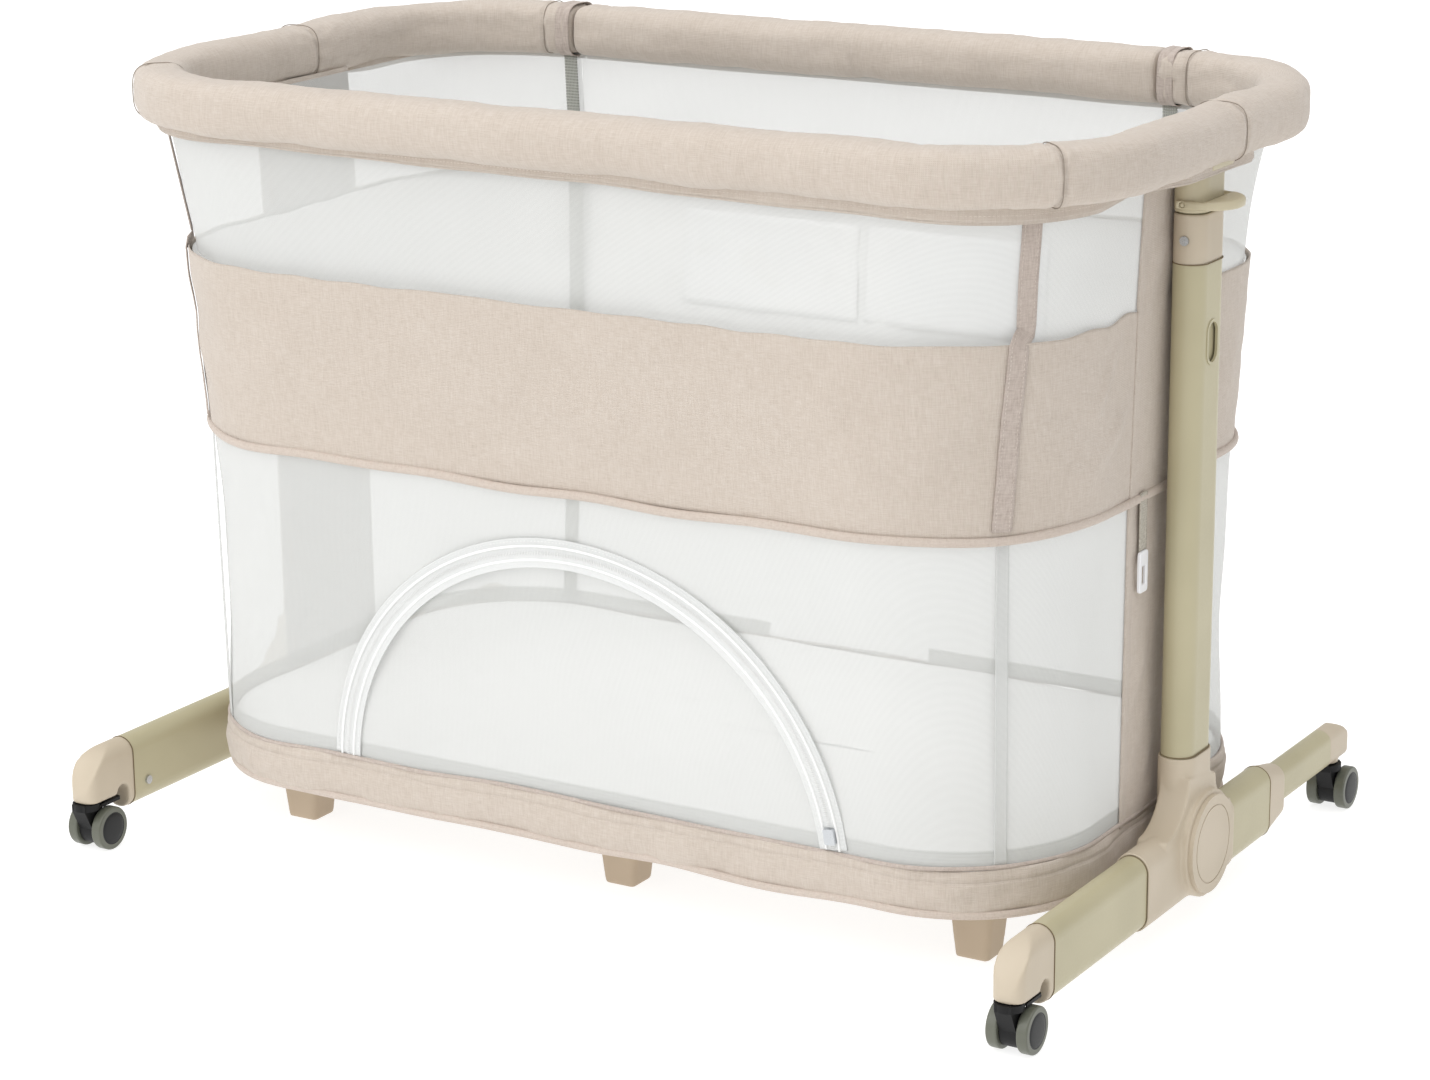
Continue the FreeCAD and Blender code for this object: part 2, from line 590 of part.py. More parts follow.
def make_extension(name, side):
    body = new_body(name + "_foot_extension", x=signed(side, "foot_x"))
    tube = new_sketch(body, "XZ_Plane", "-ext_inner")
    draw_oval(tube, "0", "ext_mid", "ext_tall / 2", "ext_thick / 2")
    add_feature(body, "Pad", tube, "rear_cap_start - ext_inner", flip=True)
    hollow = new_sketch(body, "XZ_Plane")
    draw_oval(hollow, "0", "ext_mid", "ext_tall / 2 - ext_wall", "ext_thick / 2 - ext_wall")
    add_feature(body, "Pocket", hollow, both=True)


def make_rear_cap(name, side):
    body = new_body(name + "_rear_foot_cap", x=signed(side, "foot_x"))
    top = "ext_low + ext_tall"
    block = new_sketch(body, "XZ_Plane", "-rear_cap_start")
    draw_oval(block, "0", "ext_mid", "ext_tall / 2", "ext_thick / 2")
    add_feature(body, "Pad", block, "rear_cap_tip - rear_cap_start", flip=True)
    plug = new_sketch(body, "XZ_Plane", "-rear_cap_start")
    draw_oval(plug, "0", "ext_mid", "ext_tall / 2 - ext_wall", "ext_thick / 2 - ext_wall")
    add_feature(body, "Pad", plug, "rear_cap_grip")
    seat = new_sketch(body, "XY_Plane", "lip_z")
    draw_circle(seat, "0", "stem_rear", "ext_thick / 2 - ext_wall")
    add_feature(body, "Pad", seat, "ext_mid - lip_z")
    for edge, radius, turn in ((top, "rear_nose", 1), ("ext_low", "rear_chin", -1)):
        inner = "%s %s %s" % (edge, "-" if turn > 0 else "+", radius)
        beyond = "%s %s %s" % (edge, "+" if turn > 0 else "-", radius)
        nose = new_sketch(body, "YZ_Plane")
        draw_outline(nose, [
            ("rear_cap_tip + " + radius, inner),
            ("rear_cap_tip", inner),
            ("rear_cap_tip - " + radius, edge, radius, turn),
            ("rear_cap_tip - " + radius, beyond),
            ("rear_cap_tip + " + radius, beyond)])
        add_feature(body, "Pocket", nose, both=True)
    round_tip(body, "rear_cap_tip", "ext_thick / 2", "rear_round", 1)
    bore = new_sketch(body, "XY_Plane", "lip_z")
    draw_circle(bore, "0", "stem_rear", "stem_dia / 2 + stem_gap")
    add_feature(body, "Pocket", bore, "stem_grip + stem_room", flip=True)


def make_crossbar():
    outer = doc.addObject("Part::Cylinder", "crossbar_outer")
    inner = doc.addObject("Part::Cylinder", "crossbar_inner")
    half = "foot_x - foot_thick / 2 - hub_wall"
    for cylinder, radius in ((outer, "bar_dia / 2"), (inner, "bar_dia / 2 - bar_wall")):
        cylinder.Placement.Rotation = FreeCAD.Rotation(Vector(0, 1, 0), 90)
        cylinder.setExpression("Radius", bound(radius))
        cylinder.setExpression("Height", bound("2 * (%s)" % half))
        cylinder.setExpression("Placement.Base.x", bound("-(%s)" % half))
        cylinder.setExpression("Placement.Base.z", bound("bar_z"))
    tube = doc.addObject("Part::Cut", "crossbar")
    tube.Label = "crossbar"
    tube.Base = outer
    tube.Tool = inner
    tube.Placement.Base = Vector(0, post_line, 0)
    parts.append(tube)


def screw(head_centre, direction, shank):
    """Round head standing on its seat, with a shank going into the part."""
    head = Part.makeCylinder(number("screw_head / 2"), number("screw_head_tall"), head_centre, direction)
    pin = Part.makeCylinder(number("screw_shank / 2"), shank, head_centre, direction * -1)
    return head.fuse(pin).removeSplitter()


def make_stand_screws():
    screws = []
    seat_y = -number("post_long / 2 - head_seat")
    face_x = number("foot_x - foot_thick / 2")
    for side in (-1, 1):
        seat = Vector(side * number("post_x"), seat_y, number("sleeve_screw_z"))
        screws.append(screw(seat, Vector(0, -1, 0), number("post_wall + spigot_wall - head_seat")))
        face = Vector(side * face_x, -number("foot_screw_y"), number("foot_screw_z"))
        screws.append(screw(face, Vector(-side, 0, 0), number("screw_bite")))
    soft_feature("stand_screws", Part.makeCompound(screws))


# ---- casters --------------------------------------------------------------------------------

def make_caster(name, x, y, braked):
    hood = new_body(name + "_caster_body", x=x, y=y)
    web = new_sketch(hood, "YZ_Plane")
    draw_circle(web, "trail", "wheel_radius", "hood_radius")
    add_feature(hood, "Pad", web, "hood_thick", both=True)
    neck = new_sketch(hood, "YZ_Plane")
    draw_outline(neck, [
        ("-collar_dia / 2 + neck_in", "hood_top - collar_tall"),
        ("trail - hood_radius + neck_in", "wheel_radius"),
        ("trail + hood_radius / 2", "wheel_radius"),
        ("collar_dia / 2 - neck_in", "hood_top - collar_tall"),
        ("collar_dia / 2 - neck_in", "hood_top"),
        ("-collar_dia / 2 + neck_in", "hood_top")])
    add_feature(hood, "Pad", neck, "hood_thick", both=True)
    top = new_sketch(hood, "XY_Plane", "hood_top - collar_tall")
    draw_circle(top, "0", "0", "collar_dia / 2")
    add_feature(hood, "Pad", top, "collar_tall")
    axle_hole = new_sketch(hood, "YZ_Plane")
    draw_circle(axle_hole, "trail", "wheel_radius", "axle_dia / 2 + stem_gap")
    add_feature(hood, "Pocket", axle_hole, both=True)
    stem_hole = new_sketch(hood, "XY_Plane", "hood_top")
    draw_circle(stem_hole, "0", "0", "stem_dia / 2")
    add_feature(hood, "Pocket", stem_hole, "hood_top - stem_low")
    if braked:
        pin_hole = new_sketch(hood, "YZ_Plane")
        draw_circle(pin_hole, "pedal_y", "pedal_z", "pedal_pin / 2 + stem_gap")
        add_feature(hood, "Pocket", pin_hole, both=True)

    stem = new_body(name + "_caster_stem", x=x, y=y)
    rod = new_sketch(stem, "XY_Plane", "stem_low")
    draw_circle(rod, "0", "0", "stem_dia / 2")
    add_feature(stem, "Pad", rod, "stem_high - stem_low")

    wheels = new_body(name + "_caster_wheels", x=x, y=y + " + trail", z="wheel_radius")
    rim = "wheel_radius - tyre_deep"
    half = new_sketch(wheels, "XZ_Plane")
    draw_outline(half, [
        ("wheel_outer", "0"),
        ("wheel_outer", "axle_dia / 2"),
        ("wheel_outer - dish_deep", "axle_dia"),
        ("wheel_outer - dish_deep", rim + " - dish_deep - dish_rim"),
        ("wheel_outer", rim + " - dish_rim"),
        ("wheel_outer", rim),
        ("wheel_inner", rim),
        ("wheel_inner", "axle_dia / 2"),
        ("-wheel_inner", "axle_dia / 2"),
        ("-wheel_inner", rim),
        ("-wheel_outer", rim),
        ("-wheel_outer", rim + " - dish_rim"),
        ("-wheel_outer + dish_deep", rim + " - dish_deep - dish_rim"),
        ("-wheel_outer + dish_deep", "axle_dia"),
        ("-wheel_outer", "axle_dia / 2"),
        ("-wheel_outer", "0")])
    turned = wheels.newObject("PartDesign::Revolution", wheels.Label + "_turned")
    turned.Profile = half
    turned.ReferenceAxis = (half, ["H_Axis"])
    turned.Angle = 360

    tyres = []
    for index, face in enumerate(("wheel_inner", "-wheel_outer")):
        rings = []
        for radius in ("wheel_radius", rim):
            ring = doc.addObject("Part::Cylinder", "%s_ring_%d" % (name, index))
            ring.Placement.Rotation = FreeCAD.Rotation(Vector(0, 1, 0), 90)
            ring.setExpression("Radius", bound(radius))
            ring.setExpression("Height", bound("wheel_outer - wheel_inner"))
            ring.setExpression("Placement.Base.x", bound("(%s) + (%s)" % (x, face)))
            ring.setExpression("Placement.Base.y", bound(y + " + trail"))
            ring.setExpression("Placement.Base.z", bound("wheel_radius"))
            rings.append(ring)
        band = doc.addObject("Part::Cut", "%s_band_%d" % (name, index))
        band.Base = rings[0]
        band.Tool = rings[1]
        doc.recompute()
        tyre = doc.addObject("Part::Fillet", "%s_tyre_%d" % (name, index))
        tyre.Base = band
        outer_edges = [number_of + 1 for number_of, edge in enumerate(band.Shape.Edges)
                       if len(edge.Vertexes) == 1 and edge.Length > 2 * math.pi * number(rim) + 1]
        tyre.Edges = [(edge, number("tyre_round"), number("tyre_round")) for edge in outer_edges]
        tyres.append(tyre)
    pair = doc.addObject("Part::Compound", name + "_caster_tyres")
    pair.Label = name + "_caster_tyres"
    pair.Links = tyres
    pair.Placement.Base = Vector(0, post_line, 0)
    parts.append(pair)

    if braked:
        pedal = new_body(name + "_brake_pedal", x=x, y=y)
        plate = new_sketch(pedal, "XY_Plane", "pedal_z - pedal_thick / 2")
        edge = "pedal_wide / 2"
        fork = "collar_dia / 2 + 2 * pedal_gap"
        arm = "sqrt(collar_dia ^ 2 / 4 - (pedal_y - pedal_pin) ^ 2) + pedal_gap"
        draw_outline(plate, [
            ("-(%s)" % edge, "pedal_y - pedal_pin"),
            ("-(%s)" % arm, "pedal_y - pedal_pin"),
            ("-(%s)" % arm, fork),
            (arm, fork),
            (arm, "pedal_y - pedal_pin"),
            (edge, "pedal_y - pedal_pin"),
            (edge, "pedal_tip - pedal_pin"),
            ("%s - pedal_pin" % edge, "pedal_tip", "pedal_pin", 1),
            ("-(%s) + pedal_pin" % edge, "pedal_tip"),
            ("-(%s)" % edge, "pedal_tip - pedal_pin", "pedal_pin", 1)])
        add_feature(pedal, "Pad", plate, "pedal_thick")
        pin = new_sketch(pedal, "YZ_Plane")
        draw_circle(pin, "pedal_y", "pedal_z", "pedal_pin / 2")
        add_feature(pedal, "Pad", pin, "pedal_wide", both=True)


# ---- basket frame ---------------------------------------------------------------------------

def make_inner_tube(name, side):
    body = new_body(name + "_inner_tube", x=signed(side, "post_x"))
    tube = new_sketch(body, "XY_Plane", "inner_low")
    draw_oval(tube, "0", "0", "tube_long", "tube_thick")
    add_feature(body, "Pad", tube, "head_tube - inner_low")
    hollow = new_sketch(body, "XY_Plane", "head_tube")
    draw_oval(hollow, "0", "0", "tube_long - inner_wall", "tube_thick - inner_wall")
    add_feature(body, "Pocket", hollow)


def make_post_head(name, side):
    body = new_body(name + "_post_head", x=signed(side, "post_x"))
    block = new_sketch(body, "XY_Plane", "head_foot")
    draw_oval(block, "0", "0", "post_long / 2", "post_thick / 2")
    add_feature(body, "Pad", block, "head_tall")
    pins = new_sketch(body, "XZ_Plane")
    draw_circle(pins, signed(side, "-paddle_pin_x"), "paddle_z", "paddle_pin / 2")
    add_feature(body, "Pad", pins, "2 * paddle_half", both=True)
    saddle = new_sketch(body, "XY_Plane", "pad_under")
    near = signed(side, "rail_x - post_x - saddle_thick / 2")
    far = signed(side, "rail_x - post_x + saddle_thick / 2")
    draw_outline(saddle, [
        (near, "-saddle_long / 2"),
        (far, "-saddle_long / 2"),
        (far, "saddle_long / 2"),
        (near, "saddle_long / 2")])
    add_feature(body, "Pad", saddle, "pad_tall / 2 + cloth_gap")
    channel = new_sketch(body, "XZ_Plane")
    draw_circle(channel, signed(side, "rail_x - post_x"), "rail_z", "rail_dia / 2")
    add_feature(body, "Pocket", channel, both=True)
    socket = new_sketch(body, "XY_Plane", "head_foot")
    draw_oval(socket, "0", "0", "tube_long", "tube_thick")
    add_feature(body, "Pocket", socket, "head_tall - head_cover", flip=True)


def make_release_paddle(name, side):
    body = new_body(name + "_release_paddle", x=signed(side, "post_x"))
    plate = new_sketch(body, "XY_Plane", "paddle_z - paddle_thick / 2")
    back = signed(side, "-paddle_back")
    reach = signed(side, "paddle_reach")
    tip = signed(side, "paddle_reach + paddle_half")
    draw_outline(plate, [
        (back, "-paddle_half"),
        (reach, "-paddle_half"),
        (tip, "0", "paddle_half", side),
        (reach, "paddle_half", "paddle_half", side),
        (back, "paddle_half")])
    add_feature(body, "Pad", plate, "paddle_thick")
    opening = new_sketch(body, "XY_Plane", "paddle_z + paddle_thick / 2")
    inner = signed(side, "-post_thick")
    face = signed(side, "post_thick / 2 + paddle_space")
    clear = "post_long / 2 + ear_gap"
    draw_outline(opening, [
        (inner, "-(%s)" % clear),
        (face, "-(%s)" % clear),
        (face, clear),
        (inner, clear)])
    add_feature(body, "Pocket", opening)
    holes = new_sketch(body, "XZ_Plane")
    draw_circle(holes, signed(side, "-paddle_pin_x"), "paddle_z", "paddle_pin / 2 + stem_gap")
    add_feature(body, "Pocket", holes, both=True)


def arc_through(first, middle, last):
    return Part.Arc(first, middle, last).toShape()


def pad_section():
    """Section of the padded rail about its centre: four crowned sides of one large radius,
    joined by smaller corners that run into them without a kink."""
    wide = number("pad_wide / 2")
    tall = number("pad_tall / 2")
    crown = number("pad_crown")
    rounding = number("pad_round")
    side_centre = Vector(wide - crown, 0, 0)
    top_centre = Vector(0, 0, tall - crown)
    middle = (side_centre + top_centre) * 0.5
    apart = (top_centre - side_centre).Length / 2
    away = Vector(side_centre.z - top_centre.z, 0, top_centre.x - side_centre.x).normalize()
    corner_centre = middle + away * math.sqrt((crown - rounding) ** 2 - apart ** 2)
    on_side = side_centre + (corner_centre - side_centre).normalize() * crown
    on_top = top_centre + (corner_centre - top_centre).normalize() * crown
    on_corner = corner_centre + Vector(1, 0, 1).normalize() * rounding
    edges = []
    for x, z in ((1, 1), (-1, 1), (-1, -1), (1, -1)):
        side, corner, top = [Vector(point.x * x, 0, point.z * z) for point in (on_side, on_corner, on_top)]
        edges.append(arc_through(side, corner, top))
    for sign in (-1, 1):
        edges.append(arc_through(Vector(sign * on_side.x, 0, -on_side.z), Vector(sign * wide, 0, 0),
                                 Vector(sign * on_side.x, 0, on_side.z)))
        edges.append(arc_through(Vector(-on_top.x, 0, sign * on_top.z), Vector(0, 0, sign * tall),
                                 Vector(on_top.x, 0, sign * on_top.z)))
    return Part.Wire(Part.__sortEdges__(edges))


def circle_section(radius):
    return Part.Wire(Part.makeCircle(radius, Vector(0, 0, 0), Vector(0, 1, 0)))


def rail_section(outer, inner):
    """Face between an outer and an inner section, at the rail's centre."""
    return Part.Face(outer).cut(Part.Face(inner)).Faces[0]


def rail_ring(section):
    """The section carried round the rail: four straight sides and four quarter turns."""
    corner = number("rail_corner")
    pieces = []
    for quarter in range(4):
        out, along = number("rail_x"), number("rail_y")
        if quarter % 2 == 1:
            out, along = along, out
        start = section.copy()
        start.translate(Vector(out, corner - along, number("rail_z")))
        straight = start.extrude(Vector(0, 2 * (along - corner), 0))
        end = section.copy()
        end.translate(Vector(out, along - corner, number("rail_z")))
        bend = end.revolve(Vector(out - corner, along - corner, 0), Vector(0, 0, 1), 90)
        for piece in (straight, bend):
            piece.rotate(Vector(0, 0, 0), Vector(0, 0, 1), 90 * quarter)
            pieces.append(piece)
    return pieces[0].multiFuse(pieces[1:]).removeSplitter()


def straight_rail(section, half):
    """The section along the back of the rail, from -half to half."""
    piece = section.copy()
    piece.rotate(Vector(0, 0, 0), Vector(0, 0, 1), 90)
    piece.translate(Vector(-half, number("rail_y"), number("rail_z")))
    return piece.extrude(Vector(2 * half, 0, 0))


def make_rail():
    tube_face = rail_section(circle_section(number("rail_dia / 2")),
                             circle_section(number("rail_dia / 2 - rail_wall")))
    pad_face = rail_section(pad_section(), circle_section(number("rail_dia / 2")))
    half = number("side_break")
    deep = number("pad_wide")
    gap = Part.makeBox(2 * half, 2 * deep, 2 * deep,
                       Vector(-half, number("rail_y") - deep, number("rail_z") - deep))
    soft_feature("rail_tube", rail_ring(tube_face).cut(gap))
    pad = rail_ring(pad_face).cut(gap)
    clear = number("cloth_gap")
    long = number("saddle_long") + 2 * clear
    thick = number("saddle_thick") + 2 * clear
    for side in (-1, 1):
        notch = Part.makeBox(thick, long, number("pad_tall / 2") + clear,
                             Vector(side * number("rail_x") - thick / 2, -long / 2,
                                    number("rail_z - pad_tall / 2")))
        pad = pad.cut(notch)
    soft_feature("rail_pad", pad)
    soft_feature("drop_rail_tube", straight_rail(tube_face, half - number("break_gap")))
    soft_feature("drop_rail_pad", straight_rail(pad_face, half - number("break_gap")))


# ---- fabric walls, floor and mattress -------------------------------------------------------

def ring_wire(half_x, half_y, corner, z):
    """Rounded rectangle at a height: four lines and four quarter arcs."""
    edges = []
    bend = corner * (1 - math.sqrt(0.5))
    for sx, sy in ((1, 1), (-1, 1), (-1, -1), (1, -1)):
        on_x = Vector(sx * half_x, sy * (half_y - corner), z)
        middle = Vector(sx * (half_x - bend), sy * (half_y - bend), z)
        on_y = Vector(sx * (half_x - corner), sy * half_y, z)
        first, last = (on_x, on_y) if sx * sy > 0 else (on_y, on_x)
        edges.append([arc_through(first, middle, last), first, last])
    wire_edges = []
    for index, (arc, first, last) in enumerate(edges):
        wire_edges.append(arc)
        wire_edges.append(Part.LineSegment(last, edges[(index + 1) % 4][1]).toShape())
    return Part.Wire(wire_edges)


def block(levels, inset=0.0):
    """Solid through rounded rectangles (half_x, half_y, corner, z), each drawn in by inset."""
    wires = [ring_wire(half_x - inset, half_y - inset, corner - inset, z)
             for half_x, half_y, corner, z in levels]
    return Part.makeLoft(wires, True, True)


def shell(levels, thickness):
    return block(levels).cut(block(levels, thickness))


def level(*expressions):
    return [number(expression) for expression in expressions]


def band_levels(inset=0.0):
    low = level("band_low_x", "band_low_y", "band_low_corner", "band_low")
    top = level("band_top_x", "band_top_y", "band_top_corner", "band_top")
    return [[value - inset for value in size[:3]] + size[3:] for size in (low, top)]


def make_walls():
    cloth = number("cloth")
    behind = number("cloth + cloth_gap")
    base = level("base_x", "base_y", "base_corner", "base_top")
    low, top = band_levels(behind)
    top = [top[0], top[1] - number("pocket"), top[2] - number("pocket"), top[3]]
    rail = level("mesh_top_x", "mesh_top_y", "mesh_top_corner", "pad_under")
    mesh = shell([base, low, top, rail], cloth)
    half = number("side_break")
    reach = number("rail_y")
    drop_gap = Part.makeBox(2 * half, reach, reach, Vector(-half, reach / 2, number("band_top + cloth_gap")))
    soft_feature("mesh_wall", mesh.cut(drop_gap))
    soft_feature("linen_band", shell(band_levels(), cloth))

    bulge = number("base_bulge")
    foot = [base[0], base[1], base[2], number("base_low")]
    middle = [base[0] + bulge, base[1] + bulge, base[2] + bulge, number("(base_low + base_top) / 2")]
    edge = [base[0], base[1], base[2], number("base_top - cloth_gap")]
    soft_feature("base_band", shell([foot, middle, edge], cloth))
    inside = [value - behind for value in base[:3]]
    board_top = number("base_low + board_thick")
    board = block([inside + [number("base_low")], inside + [board_top]])
    soft_feature("base_board", board)
    shoulder = number("mattress_round")
    drawn = [value - shoulder for value in inside]
    crown = [value / 2 for value in drawn]
    rim = number("base_top")
    soft_feature("mattress", block([
        inside + [board_top + number("cloth_gap")],
        inside + [rim - shoulder],
        drawn + [rim],
        crown + [rim + number("mattress_crown")]]))


def make_drop_panel():
    """Mesh between the fold line, just outside the band's top edge, and the drop side's rail."""
    thick = number("cloth / 2")
    fold = Vector(0, number("band_top_y + cloth_gap + cloth / 2"), number("band_top + hinge_rise"))
    top = Vector(0, number("rail_y"), number("pad_under"))
    run = (top - fold).normalize()
    across = Vector(0, -run.z, run.y) * thick
    top_run = Vector(0, thick * run.y / run.z + thick / run.z, 0)
    edges = [Part.LineSegment(fold + across, top - top_run).toShape(),
             Part.LineSegment(top - top_run, top + top_run).toShape(),
             Part.LineSegment(top + top_run, fold - across).toShape(),
             arc_through(fold - across, fold - run * thick, fold + across)]
    face = Part.Face(Part.Wire(edges))
    half = number("side_break - break_gap")
    face.translate(Vector(-half, 0, 0))
    soft_feature("drop_mesh_panel", face.extrude(Vector(2 * half, 0, 0)))


def make_end_panels():
    """Linen strip down the middle of each end, outside the band and inside the post."""
    gap = number("cloth_gap")
    thick = number("panel_thick")
    stations = [Vector(number("base_x") + gap, 0, number("base_top")),
                Vector(number("band_low_x") + gap, 0, number("band_low")),
                Vector(number("band_top_x") + gap, 0, number("band_top")),
                Vector(number("mesh_top_x") + gap, 0, number("pad_under"))]
    outward = Vector(thick, 0, 0)
    corners = stations + [point + outward for point in reversed(stations)]
    profile = Part.Face(Part.makePolygon(corners + corners[:1]))
    half = number("panel_half")
    profile.translate(Vector(0, -half, 0))
    right = profile.extrude(Vector(0, 2 * half, 0))
    left = right.mirror(Vector(0, 0, 0), Vector(1, 0, 0))
    soft_feature("end_panels", Part.makeCompound([left, right]))


def make_base_feet():
    feet = []
    low = number("leg_bottom / 2")
    high = number("leg_top / 2")
    for x in (-number("leg_x"), 0, number("leg_x")):
        for y in (-number("leg_y"), number("leg_y")):
            wires = [ring_wire(half, half, half / number("leg_round"), z)
                     for half, z in ((low, 0), (high, number("base_low")))]
            foot = Part.makeLoft(wires, True, True)
            foot.translate(Vector(x, y, 0))
            feet.append(foot)
    soft_feature("base_feet", Part.makeCompound(feet))


# ---- zip door and strap ---------------------------------------------------------------------

def front_slope():
    """Place in the front mesh: the arch's middle, with the wall's own up and out directions."""
    low = Vector(0, -number("base_y"), number("base_top"))
    high = Vector(0, -number("band_low_y - cloth - cloth_gap"), number("band_low"))
    up = (high - low).normalize()
    out = Vector(0, -up.z, up.y)
    lift = number("arch_z - base_top")
    middle = low + up * (lift / up.z) + Vector(number("arch_x"), 0, 0)
    return middle, up, out


def arch_radius():
    """Middle line of the zip tape, which ends below the linen band."""
    up = front_slope()[1]
    return number("band_low - arch_z") / up.z - number("tape_wide / 2 + arch_drop")


def arch_foot():
    """Feet of the zip arch above its centre, along the slope."""
    return number("arch_rise + arch_sink") / front_slope()[1].z


def lay_on_slope(shape, out_by):
    """Carry a shape drawn in X and Z, with its back at y = 0, onto the front mesh."""
    middle, up, out = front_slope()
    tilt = FreeCAD.Rotation(Vector(0, 0, 1), up)
    shape.Placement = FreeCAD.Placement(middle + out * out_by, tilt).multiply(shape.Placement)
    return shape


def make_zip():
    radius = arch_radius()
    wide = number("tape_wide")
    thick = number("tape_thick")
    gap = number("cloth_gap")
    front = Vector(0, -1, 0)
    ring = Part.makeCylinder(radius + wide / 2, thick, Vector(0, 0, 0), front)
    ring = ring.cut(Part.makeCylinder(radius - wide / 2, thick, Vector(0, 0, 0), front))
    span = radius + wide
    arch = ring.common(Part.makeBox(2 * span, 2 * span, span, Vector(-span, -span, arch_foot())))
    soft_feature("zip_tape", lay_on_slope(arch, gap))

    long = number("slider_long")
    across = number("slider_wide")
    body = Part.makeBox(across, number("slider_thick"), long,
                        Vector(radius - across / 2, -number("slider_thick"), 0))
    body = body.makeFillet(number("slider_thick / 3"), [edge for edge in body.Edges
                                                        if abs(edge.tangentAt(0).y) > 0.9])
    turn = math.degrees(math.asin(arch_foot() / radius)) + number("slider_turn")
    body.rotate(Vector(0, 0, 0), front, turn)
    soft_feature("zip_slider", lay_on_slope(body, thick + 2 * gap))


def make_strap():
    """Webbing that hangs below the band beside the right post, with its plastic clip."""
    face = number("band_low_x + cloth_gap + panel_thick + cloth_gap")
    thick = number("strap_thick")
    wide = number("strap_wide")
    long = number("strap_long")
    top = number("band_low - cloth_gap")
    centre = -number("strap_y")
    web = Part.makeBox(thick, wide, long, Vector(face, centre - wide / 2, top - long))
    soft_feature("strap_webbing", web)
    clip_wide = number("clip_wide")
    clip_thick = number("clip_thick")
    clip_long = number("clip_long")
    clip_top = top - long - number("cloth_gap")
    clip = Part.makeBox(clip_thick, clip_wide, clip_long,
                        Vector(face, centre - clip_wide / 2, clip_top - clip_long))
    corners = [edge for edge in clip.Edges if abs(edge.tangentAt(0).x) > 0.9]
    clip = clip.makeFillet(number("clip_round"), corners)
    slot_wide = number("clip_slot_wide")
    slot_long = number("clip_slot_long")
    slot = Part.makeBox(clip_thick, slot_wide, slot_long,
                        Vector(face, centre - slot_wide / 2, clip_top - clip_long + slot_wide))
    soft_feature("strap_clip", clip.cut(slot))


# ---- the whole crib -------------------------------------------------------------------------

for side_name, side_sign in (("left", -1), ("right", 1)):
    make_post_tube(side_name, side_sign)
    make_post_sleeve(side_name, side_sign)
    make_hub_housing(side_name, side_sign)
    make_hub_cap(side_name, side_sign)
    make_foot_tube(side_name, side_sign)
    make_front_cap(side_name, side_sign)
    make_collar(side_name, side_sign)
    make_extension(side_name, side_sign)
    make_rear_cap(side_name, side_sign)
    make_inner_tube(side_name, side_sign)
    make_post_head(side_name, side_sign)
    make_release_paddle(side_name, side_sign)
    make_caster("front_" + side_name, signed(side_sign, "foot_x"), "-stem_front", True)
    make_caster("rear_" + side_name, signed(side_sign, "foot_x"), "stem_rear", False)
make_crossbar()
make_stand_screws()
make_rail()
make_walls()
make_drop_panel()
make_end_panels()
make_base_feet()
make_zip()
make_strap()
doc.recompute()

for item in doc.Objects:
    if "Invalid" in item.State or "Error" in item.State:
        raise RuntimeError("%s failed: %s" % (item.Label, item.State))
for item in parts:
    if item.Shape.isNull() or not item.Shape.isValid() or item.Shape.Volume <= 0:
        raise RuntimeError("%s has no valid solid" % item.Label)

os.makedirs("parts", exist_ok=True)
for item in parts:
    item.Shape.exportStep("parts/%s.step" % item.Label)
print(len(parts), "parts written")
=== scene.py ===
import bpy
import bmesh
import json
import math
import numpy as np
from mathutils import Matrix, Vector


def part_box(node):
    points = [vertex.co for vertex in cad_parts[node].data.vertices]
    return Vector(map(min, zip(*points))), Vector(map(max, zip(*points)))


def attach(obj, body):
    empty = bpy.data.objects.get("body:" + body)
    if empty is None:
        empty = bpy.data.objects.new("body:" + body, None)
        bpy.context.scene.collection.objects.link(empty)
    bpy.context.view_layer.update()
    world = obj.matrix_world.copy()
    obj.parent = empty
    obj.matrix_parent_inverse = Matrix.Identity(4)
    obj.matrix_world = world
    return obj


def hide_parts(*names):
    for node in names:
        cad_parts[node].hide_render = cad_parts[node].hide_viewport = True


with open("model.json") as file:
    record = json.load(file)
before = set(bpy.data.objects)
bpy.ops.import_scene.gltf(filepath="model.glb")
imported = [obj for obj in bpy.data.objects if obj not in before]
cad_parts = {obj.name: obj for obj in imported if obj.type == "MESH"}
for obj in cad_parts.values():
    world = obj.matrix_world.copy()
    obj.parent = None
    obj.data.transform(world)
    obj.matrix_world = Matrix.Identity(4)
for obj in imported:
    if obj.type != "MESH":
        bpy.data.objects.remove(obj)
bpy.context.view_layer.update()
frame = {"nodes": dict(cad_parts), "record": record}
scene = bpy.context.scene
mm = 0.001
pi = math.pi

# small helpers for meshes


def addObject(name, data):
    # a new object at the origin
    piece = bpy.data.objects.new(name, data)
    scene.collection.objects.link(piece)
    return piece


def unit(vectors):
    # the rows of an array, each made one long
    return vectors / np.linalg.norm(vectors, axis=1, keepdims=True)


def walkAlong(path):
    # the distance walked at each point of a path
    return np.concatenate([[0], np.cumsum(np.linalg.norm(np.diff(path, axis=0), axis=1))])


